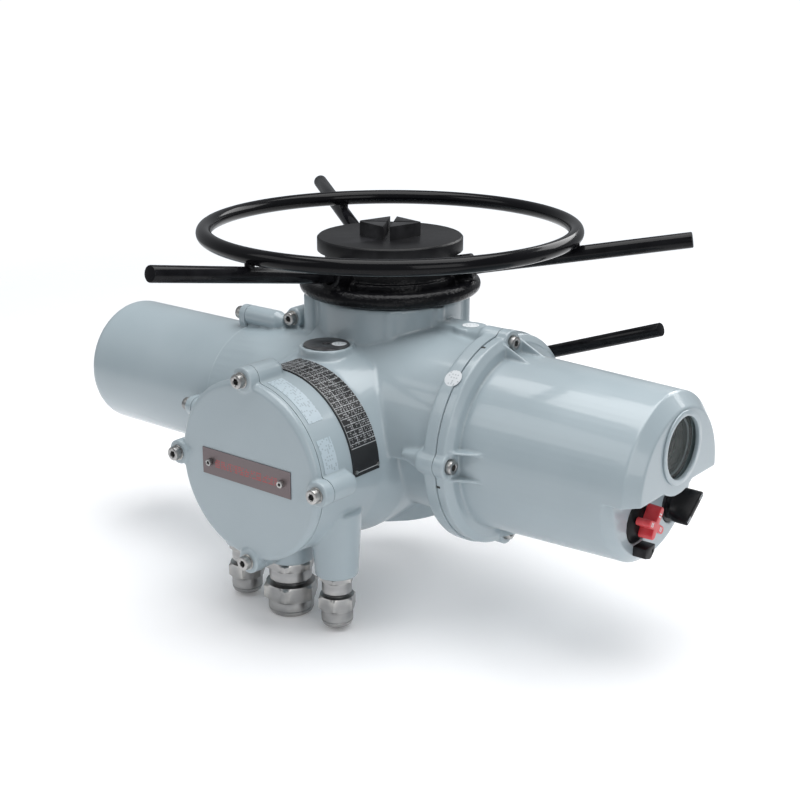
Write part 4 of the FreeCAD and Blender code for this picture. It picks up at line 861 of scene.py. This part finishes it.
def glandNutInto(bm, top, look):
    start = look["collar"] + look["band"] + look["neck"]
    far = look["nutFlats"] * glandShape["band"]
    hexEnd = start + look["hex"]
    end = hexEnd + look["end"]
    seat = look["flats"] * glandShape["core"] + 0.1
    mouth = glandShape["bodyEnd"] + 0.2
    profile = [(seat, start + 0.2)]
    profile += hexPoints(look["nutFlats"], start, hexEnd, 2.2)
    profile += [(far - 0.4, hexEnd + 0.1), (far, hexEnd + 0.9), (far, end - 6.5),
                (far - 0.5, end - 6.2), (far - 0.5, end - 5.6), (far - 0.1, end - 5.3),
                (far - 0.6, end - 3.2), (far - 1.6, end - 1.2), (far - 3.2, end),
                (look["cable"] + 1.2, end), (look["cable"] + 0.5, end - 0.8),
                (look["cable"] + 0.5, mouth), (seat, mouth)]
    latheInto(bm, profile, glandShape["steps"], facing(top, (0, 0, -1)))


def glandSealInto(bm, top, look):
    inner, start, end = look["cable"], glandShape["sealTop"], glandShape["bodyEnd"]
    profile = [(inner, start), (inner + 2.4, start), (inner + 2.4, end),
               (inner + 1.8, end + 1.5), (inner, end + 1.5)]
    latheInto(bm, profile, glandShape["sealSteps"], facing(top, (0, 0, -1)))


def glandTops(node):
    # the boss faces that glands screw into, found from the seals inside them
    low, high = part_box(node)
    top = high.z + glandShape["sealTop"] * mm
    far = (high.y - low.y) / 2
    middle = (low.y + high.y) / 2
    if node.startswith("large"):
        return [Vector(((low.x + high.x) / 2, middle, top))]
    return [Vector((low.x + far, middle, top)), Vector((high.x - far, middle, top))]


def makeGlands():
    kinds = {"small": ("small_gland_bodies", "small_gland_nuts", "small_gland_seals"),
             "large": ("large_gland_body", "large_gland_nut", "large_gland_seal")}
    makers = (glandBodyInto, glandNutInto, glandSealInto)
    for size, nodes in kinds.items():
        for node, maker, material in zip(nodes, makers, (stainless, stainless, rubber)):
            bm = bmesh.new()
            for spot in glandTops(nodes[2]):
                maker(bm, spot, glandSettings[size])
            standIn(toMesh(bm, node), node, material)


makeGlands()
print("glands made")


# hand wheel

ringSettings = {"barSteps": 28, "roundSteps": 220}


def makeRing():
    low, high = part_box("handwheel_ring")
    bar = (high.z - low.z) / 2 / mm
    far = (high.x - low.x) / 2 / mm - bar
    profile = []
    for step in range(ringSettings["barSteps"]):
        angle = 2 * math.pi * step / ringSettings["barSteps"]
        profile.append((far + bar * math.cos(angle), bar * math.sin(angle)))
    bm = bmesh.new()
    latheInto(bm, profile, ringSettings["roundSteps"], Matrix.Translation((low + high) / 2))
    standIn(toMesh(bm, "ring"), "handwheel_ring", blackEnamel)


roundWidths = {
    "handwheel_arms": (blackEnamel, 0.9), "ring_welds": (blackEnamel, 0.4),
    "stem_cap": (capBlack, 0.7), "oil_plug": (darkSteel, 0.45), "lever_hub": (blackEnamel, 0.8),
    "lever_rod": (blackEnamel, 0.8), "lever_shaft": (machined, 0.5),
    "window_bezel": (paint, 0.6), "window_seal": (rubber, 0.2),
}
makeRing()
for node, (material, width) in roundWidths.items():
    softened(node, material, width)
print("hand wheel and lever made")


# selectors: a red cross and a black wing on their collars

def capsuleReach(angle, long, half):
    # how far a round-ended arm along angle 0 reaches in a direction
    run = long - half
    side = abs(run * math.sin(angle))
    if math.cos(angle) > 0 and side < half:
        end = run * math.cos(angle) + math.sqrt(half ** 2 - side ** 2)
        if end * math.cos(angle) >= run:
            return end
    if math.cos(angle) <= 0:
        return half
    return half / max(abs(math.sin(angle)), 0.001)


def starOutline(look):
    # radii about a knob's axis from arms of (angle, length), inner corners softened
    count = look["steps"]
    half = look["half"]
    radii = []
    for step in range(count):
        angle = 2 * math.pi * step / count
        reach = [capsuleReach(angle - math.radians(turn), long, half)
                 for turn, long in look["arms"]]
        radii.append(max(look["boss"], *reach))
    for turn in range(look["softRounds"]):
        radii = [(radii[index - 1] + 2 * far + radii[(index + 1) % count]) / 4
                 for index, far in enumerate(radii)]
    return radii


def loftInto(bm, levels, matrix):
    # joins closed outlines of radii, each at its own height, and closes both ends
    rings = []
    for height, radii in levels:
        count = len(radii)
        ring = []
        for step, far in enumerate(radii):
            angle = 2 * math.pi * step / count
            spot = Vector((far * math.cos(angle), far * math.sin(angle), height)) * mm
            ring.append(bm.verts.new(matrix @ spot))
        rings.append(ring)
    for lower, upper in zip(rings, rings[1:]):
        for step in range(len(lower)):
            after = (step + 1) % len(lower)
            bm.faces.new((lower[step], lower[after], upper[after], upper[step]))
    for ring, level in ((rings[0], levels[0]), (rings[-1], levels[-1])):
        middle = bm.verts.new(matrix @ Vector((0, 0, level[0] * mm)))
        for step in range(len(ring)):
            bm.faces.new((ring[step], ring[(step + 1) % len(ring)], middle))


def knobPlace(node):
    # a selector's axis point at the back of its grip, x to the row's y, z along +X
    joint = next(row for row in frame["record"]["behaviour"]["joints"]
                 if row["name"] == node.split("_")[0] + "_knob_turn")
    spot = Vector(joint["pos_m"])
    turn = Matrix(((0, 0, 1), (1, 0, 0), (0, 1, 0))).to_4x4()
    return Matrix.Translation((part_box(node)[1].x, spot.y, spot.z)) @ turn


redSettings = {"arms": ((54, 19), (152, 15), (326, 17), (242, 13)), "half": 3.7, "boss": 5.6,
               "deep": 14, "round": 1.0, "flare": 1.03, "steps": 180, "softRounds": 2,
               "markAt": 0.50, "markPitch": 2.6, "mark": (1.3, 4.2, 0.2)}
blackSettings = {"long": 19.3, "deep": 24, "turn": 38, "steps": 96, "notches": 5,
                 "notchFrom": 2.6, "notchPitch": 1.5, "notch": (0.55, 3.6, 0.2),
                 "levels": ((0, 15.4, 15.4), (4.5, 15.4, 15.4), (5.5, 17.2, 14.6), (9, 18.6, 8.5),
                            (14, 19.1, 5.2), (22.8, 19.3, 3.4), (23.7, 18.9, 2.9),
                            (24, 18.2, 2.3))}


def makeRedCross():
    look = redSettings
    place = knobPlace("red_selector")
    outline = starOutline(look)
    edge = look["round"]
    levels = [(-look["deep"], [far * look["flare"] for far in outline]), (-edge, outline)]
    for step in range(1, 6):
        turn = math.pi / 2 * step / 5
        levels.append((-edge + edge * math.sin(turn),
                       [far - edge * (1 - math.cos(turn)) for far in outline]))
    bm = bmesh.new()
    loftInto(bm, levels, place)
    standIn(toMesh(bm, "cross"), "red_selector", redPlastic, angle=45)
    bm = bmesh.new()
    for turn, long in look["arms"][:3]:
        spin = Matrix.Rotation(math.radians(turn), 4, "Z")
        start = long * look["markAt"]
        for out in (start, start + look["markPitch"]):
            lift = Matrix.Translation(Vector((out, 0, 0.06)) * mm)
            boxInto(bm, look["mark"], place @ spin @ lift, 0.05)
    finishPiece(toMesh(bm, "marks"), "red_marks", labelPaper, "red_knob")


def makeBlackWing():
    look = blackSettings
    place = knobPlace("black_selector") @ Matrix.Rotation(math.radians(look["turn"]), 4, "Z")
    angles = [2 * math.pi * step / look["steps"] for step in range(look["steps"])]
    levels = []
    for height, long, half in look["levels"]:
        outline = [max(capsuleReach(angle, long, half),
                       capsuleReach(angle - math.pi, long, half)) for angle in angles]
        levels.append((height - look["deep"], outline))
    bm = bmesh.new()
    loftInto(bm, levels, place)
    standIn(toMesh(bm, "wing"), "black_selector", knobBlack, angle=45)
    bm = bmesh.new()
    for side in (-1, 1):
        for index in range(look["notches"]):
            out = side * (look["long"] - look["notchFrom"] - index * look["notchPitch"])
            lift = Matrix.Translation(Vector((out, 0, -0.05)) * mm)
            boxInto(bm, look["notch"], place @ lift, 0.05)
    finishPiece(toMesh(bm, "notches"), "black_marks", labelPaper, "black_knob")


collarProfiles = {
    "red_selector": ((4.2, 0), (21, 0), (21, 10.2), (20.7, 11.0), (19.5, 12.4), (17, 14.2),
                     (13.5, 15.8), (10, 16.7), (4.2, 17)),
    "black_selector": ((4.2, 0), (19, 0), (19, 11.6), (18.7, 12.5), (17.9, 13), (4.2, 13)),
}


def makeCollars():
    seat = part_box("selector_collars")[0].x
    bm = bmesh.new()
    for node, profile in collarProfiles.items():
        place = knobPlace(node)
        back = Matrix.Translation((seat - place.translation.x, 0, 0))
        latheInto(bm, profile, 96, back @ place)
    standIn(toMesh(bm, "collars"), "selector_collars", knobBlack)


tabSettings = {"outline": ((-9, 1), (9, 1), (8.2, -5.5), (2.2, -11.2), (-0.5, -11.4), (-9, -8.6)),
               "hole": ((3.6, -3.2), (6.2, -3.6), (3.2, -7.6)), "deep": 13.5,
               "round": 0.6}


def makeTab():
    # padlock tab: a plate with a small three-sided eye
    look = tabSettings
    low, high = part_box("lock_tab")
    middle = (low.y + high.y) / 2
    bm = bmesh.new()
    edges = []
    for outline in (look["outline"], look["hole"]):
        ring = [bm.verts.new(Vector((low.x, middle + y * mm, high.z + (z - 1) * mm)))
                for y, z in outline]
        edges += [bm.edges.new(pair) for pair in zip(ring, ring[1:] + ring[:1])]
    filled = bmesh.ops.triangle_fill(bm, edges=edges, use_beauty=True)
    faces = [part for part in filled["geom"] if isinstance(part, bmesh.types.BMFace)]
    grown = bmesh.ops.extrude_face_region(bm, geom=faces)
    moved = [part for part in grown["geom"] if isinstance(part, bmesh.types.BMVert)]
    bmesh.ops.translate(bm, vec=(look["deep"] * mm, 0, 0), verts=moved)
    standIn(rounded(toMesh(bm, "tab"), "tab", look["round"], 30), "lock_tab", knobBlack)


wellSettings = {"deep": 16, "radius": 26.4, "ring": 22.5, "ringAt": 7.5, "ringThick": 1.2,
                "steps": 96}


def makeWell():
    # the display set back in a dark well, with a thin ring in front of it
    look = wellSettings
    middle = middleOf("window_glass") * mm
    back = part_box("display_module")[1].x - look["deep"] * mm
    place = facing(Vector((back, middle.y, middle.z)), (1, 0, 0))
    bm = bmesh.new()
    far = look["radius"]
    latheInto(bm, [(0, 1.5), (far - 3, 1.5), (far - 0.8, 2.2), (far - 0.6, look["deep"] - 0.1),
                   (far, look["deep"] - 0.1), (far, 0), (0, 0)], look["steps"], place)
    standIn(toMesh(bm, "well"), "display_module", darkPlastic)
    bm = bmesh.new()
    ring = look["ring"]
    start = look["ringAt"]
    end = start + look["ringThick"]
    latheInto(bm, [(ring, start), (far - 0.7, start), (far - 0.7, end), (ring + 0.4, end)],
              look["steps"], place)
    finishPiece(toMesh(bm, "sightRing"), "sight_ring", machined, "housing")


prySettings = {"reach": 104.95, "aside": 1.4, "angles": (108.7, -168.2),
               "size": (5.0, 2.6, 3.0), "round": 0.3}


def makePrySlots():
    # small dark slots in the joint of the control cover
    look = prySettings
    middle = middleOf("control_screws")
    bm = bmesh.new()
    for angle in look["angles"]:
        turn = math.radians(angle)
        out = Vector((0, math.cos(turn), math.sin(turn)))
        spot = Vector((controlSeam + look["aside"], middle.y + out.y * look["reach"],
                       middle.z + out.z * look["reach"])) * mm
        boxInto(bm, look["size"], facing(spot, out), look["round"])
    finishPiece(toMesh(bm, "slots"), "pry_slots", rubber, "housing")


# labels: thin paper on the casting, with blank marks

labelSettings = {"thick": 0.25, "rise": 0.18, "steps": 24, "sheet": 100.0,
                 "mark": 1.7, "row": 3.1, "fill": 0.38, "inkShare": 0.35,
                 "ink": (0.10, 0.14, 0.16, 1), "roughness": 0.45}


def paperMaterial(name, pale, deep):
    # a printed label with rows of short blank marks
    look = labelSettings
    material, tree, shader = startMaterial(name)
    place = splitPlace(tree, "ShaderNodeUVMap", "UV")
    marks = blankMarks(tree, maths(tree, "MULTIPLY", place["X"], look["sheet"]),
                       maths(tree, "MULTIPLY", place["Y"], look["sheet"]), look)
    grain = grainNode(tree, None)
    sheet = mixColours(tree, grain.outputs["Mottle"], pale, deep)
    marked = maths(tree, "MULTIPLY", marks, look["inkShare"])
    tree.links.new(mixColours(tree, marked, sheet, look["ink"]), shader.inputs["Base Color"])
    shader.inputs["Roughness"].default_value = look["roughness"]
    return material


labelPaper = paperMaterial("labelPaper", (0.66, 0.70, 0.73, 1), (0.72, 0.75, 0.77, 1))
labelFilm = paperMaterial("labelFilm", (0.44, 0.53, 0.58, 1), (0.50, 0.58, 0.63, 1))
makeRedCross()
makeBlackWing()
makeCollars()
makeTab()
makeWell()
makePrySlots()
print("selectors made")


def sheetMesh(name, surface, width, height, outline):
    # a thin closed sheet; surface(u, v, lift) gives a place in millimetres
    look = labelSettings
    steps = look["steps"]
    bm = bmesh.new()
    layers = []
    for lift in (look["rise"], look["rise"] + look["thick"]):
        layer = []
        for row in range(steps + 1):
            line = []
            for column in range(steps + 1):
                u, v = outline(2 * column / steps - 1, 2 * row / steps - 1)
                spot = surface(u * width / 2, v * height / 2, lift)
                line.append(bm.verts.new(Vector(spot) * mm))
            layer.append(line)
        layers.append(layer)
    for layer in layers:
        for row in range(steps):
            for column in range(steps):
                bm.faces.new((layer[row][column], layer[row][column + 1],
                              layer[row + 1][column + 1], layer[row + 1][column]))
    rim = ([(0, index) for index in range(steps)] + [(index, steps) for index in range(steps)]
           + [(steps, steps - index) for index in range(steps)]
           + [(steps - index, 0) for index in range(steps)])
    for (row, column), (nextRow, nextColumn) in zip(rim, rim[1:] + rim[:1]):
        bm.faces.new((layers[0][row][column], layers[0][nextRow][nextColumn],
                      layers[1][nextRow][nextColumn], layers[1][row][column]))
    spread = bm.loops.layers.uv.new("sheet")
    index = {}
    for layer in layers:
        for row, line in enumerate(layer):
            for column, vert in enumerate(line):
                u, v = outline(2 * column / steps - 1, 2 * row / steps - 1)
                index[vert] = (u * width / 2 / look["sheet"] + 1,
                               v * height / 2 / look["sheet"] + 1)
    for face in bm.faces:
        for loop in face.loops:
            loop[spread].uv = index[loop.vert]
    return toMesh(bm, name)


def discOutline(x, y):
    # square steps mapped to a disc
    return x * math.sqrt(1 - y * y / 2), y * math.sqrt(1 - x * x / 2)


def squareOutline(x, y):
    return x, y


def onBarrel(axis, centre, radius, middle, angle):
    # a sheet's surface wrapped on a barrel: u runs round it and v along it
    first, second = [index for index in range(3) if index != axis]

    def surface(u, v, lift):
        turn = math.radians(angle) + u / radius
        spot = [0, 0, 0]
        spot[axis] = middle + v
        spot[first] = centre[0] + (radius + lift) * math.cos(turn)
        spot[second] = centre[1] + (radius + lift) * math.sin(turn)
        return spot
    return surface


def onFlat(centre, angle):
    # a level sheet's surface, turned about its centre
    def surface(u, v, lift):
        turn = math.radians(angle)
        return (centre[0] + u * math.cos(turn) - v * math.sin(turn),
                centre[1] + u * math.sin(turn) + v * math.cos(turn), centre[2] + lift)
    return surface


def makeLabels():
    # each one has a surface, a width, a height, an outline and a paper
    plug = middleOf("oil_plug")
    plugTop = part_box("oil_plug")[1].z / mm
    flange = middleOf("control_screws").yz
    barrel = middleOf("terminal_screws").xz
    labels = [
        ("plug_label", onFlat((plug.x + 12, plug.y + 6, plugTop), 40), 15, 15, discOutline,
         labelPaper),
        ("tab_label", onFlat((111, -8, 213), 40), 17, 17, discOutline, labelPaper),
        ("flange_label", onBarrel(0, flange, 107.4, controlSeam - 4.5, 133.4), 18, 18,
         discOutline, labelPaper),
        ("long_label", onBarrel(1, barrel, 91, terminalSeam + 16, 60), 62, 20, squareOutline,
         labelFilm),
        ("short_label", onBarrel(1, barrel, 91, terminalSeam + 14, 19), 34, 19, squareOutline,
         labelFilm),
    ]
    for name, surface, width, height, outline, material in labels:
        mesh = sheetMesh(name, surface, width, height, outline)
        finishPiece(mesh, name, material, "housing")


makeLabels()
print("labels made")


# stage

floorSettings = {"radius": 3.0, "colour": (0.93, 0.93, 0.94), "second": (0.91, 0.91, 0.92),
                 "solidTo": 0.75, "goneBy": 1.9, "below": 0.5, "roughness": 0.8, "glow": 0.10}


def makeFloor():
    # a pale round floor that fades into the white surroundings
    look = floorSettings
    bm = bmesh.new()
    bmesh.ops.create_circle(bm, cap_ends=True, segments=128, radius=look["radius"])
    mesh = bpy.data.meshes.new("floor")
    bm.to_mesh(mesh)
    bm.free()
    floor = bpy.data.objects.new("floor", mesh)
    bpy.context.scene.collection.objects.link(floor)
    floor.location = (0, 0, cadLow.z - look["below"] * mm)
    material, tree, shader = startMaterial("paleFloor")
    grain = grainNode(tree, None)
    colour = mixColours(tree, grain.outputs["Mottle"], (*look["colour"], 1), (*look["second"], 1))
    tree.links.new(colour, shader.inputs["Base Color"])
    shader.inputs["Roughness"].default_value = look["roughness"]
    shader.inputs["Emission Color"].default_value = (1, 1, 1, 1)
    shader.inputs["Emission Strength"].default_value = look["glow"]
    place = addNode(tree, "ShaderNodeTexCoord")
    far = addNode(tree, "ShaderNodeVectorMath", operation="LENGTH")
    tree.links.new(place.outputs["Object"], far.inputs[0])
    tree.links.new(ranged(tree, far.outputs["Value"], look["solidTo"], look["goneBy"], 1, 0),
                   shader.inputs["Alpha"])
    floor.data.materials.append(material)


worldSettings = {"colour": (0.93, 0.96, 1.0, 1), "lit": 0.30, "seen": 1.1}


def makeWorld():
    world = bpy.data.worlds.new("studio")
    bpy.context.scene.world = world
    world.use_nodes = True
    tree = world.node_tree
    background = tree.nodes["Background"]
    background.inputs["Color"].default_value = worldSettings["colour"]
    path = addNode(tree, "ShaderNodeLightPath")
    strength = ranged(tree, path.outputs["Is Camera Ray"], 0, 1, worldSettings["lit"],
                      worldSettings["seen"])
    tree.links.new(strength, background.inputs["Strength"])


lightAim = (0, 0, 0.12)
lightSettings = {
    "key": {"place": (-1.1, -1.7, 1.7), "size": (1.5, 1.1), "power": 8},
    "top": {"place": (0.1, 0.1, 2.1), "size": (2.0, 2.0), "power": 47},
    "fill": {"place": (2.0, -0.9, 0.9), "size": (1.1, 1.3), "power": 9},
    "rim": {"place": (0.3, 1.9, 1.3), "size": (1.8, 0.8), "power": 18},
}


def makeLights():
    for name, settings in lightSettings.items():
        light = bpy.data.lights.new(name, "AREA")
        light.shape = "RECTANGLE"
        light.size, light.size_y = settings["size"]
        light.energy = settings["power"]
        lamp = bpy.data.objects.new(name + "Light", light)
        lamp.location = settings["place"]
        lamp.rotation_mode = "QUATERNION"
        ray = Vector(lightAim) - Vector(settings["place"])
        lamp.rotation_quaternion = ray.to_track_quat("-Z", "Y")
        bpy.context.scene.collection.objects.link(lamp)


cameraSettings = {"azimuth": 38.837, "elevation": 17.812, "distance": 1.45,
                  "aim": (0.0476, -0.0427, 0.1303), "lens": 63.31, "sensor": 36}


def makeCamera():
    azimuth = math.radians(cameraSettings["azimuth"])
    elevation = math.radians(cameraSettings["elevation"])
    back = Vector((math.sin(azimuth) * math.cos(elevation),
                   -math.cos(azimuth) * math.cos(elevation), math.sin(elevation)))
    camera = bpy.data.objects.new("camera", bpy.data.cameras.new("camera"))
    camera.data.lens = cameraSettings["lens"]
    camera.data.sensor_width = cameraSettings["sensor"]
    camera.location = Vector(cameraSettings["aim"]) + back * cameraSettings["distance"]
    camera.rotation_mode = "QUATERNION"
    camera.rotation_quaternion = (-back).to_track_quat("-Z", "Y")
    bpy.context.scene.collection.objects.link(camera)
    bpy.context.scene.camera = camera


makeFloor()
makeWorld()
makeLights()
makeCamera()
bpy.context.scene.view_settings.view_transform = "Standard"
print("stage set")
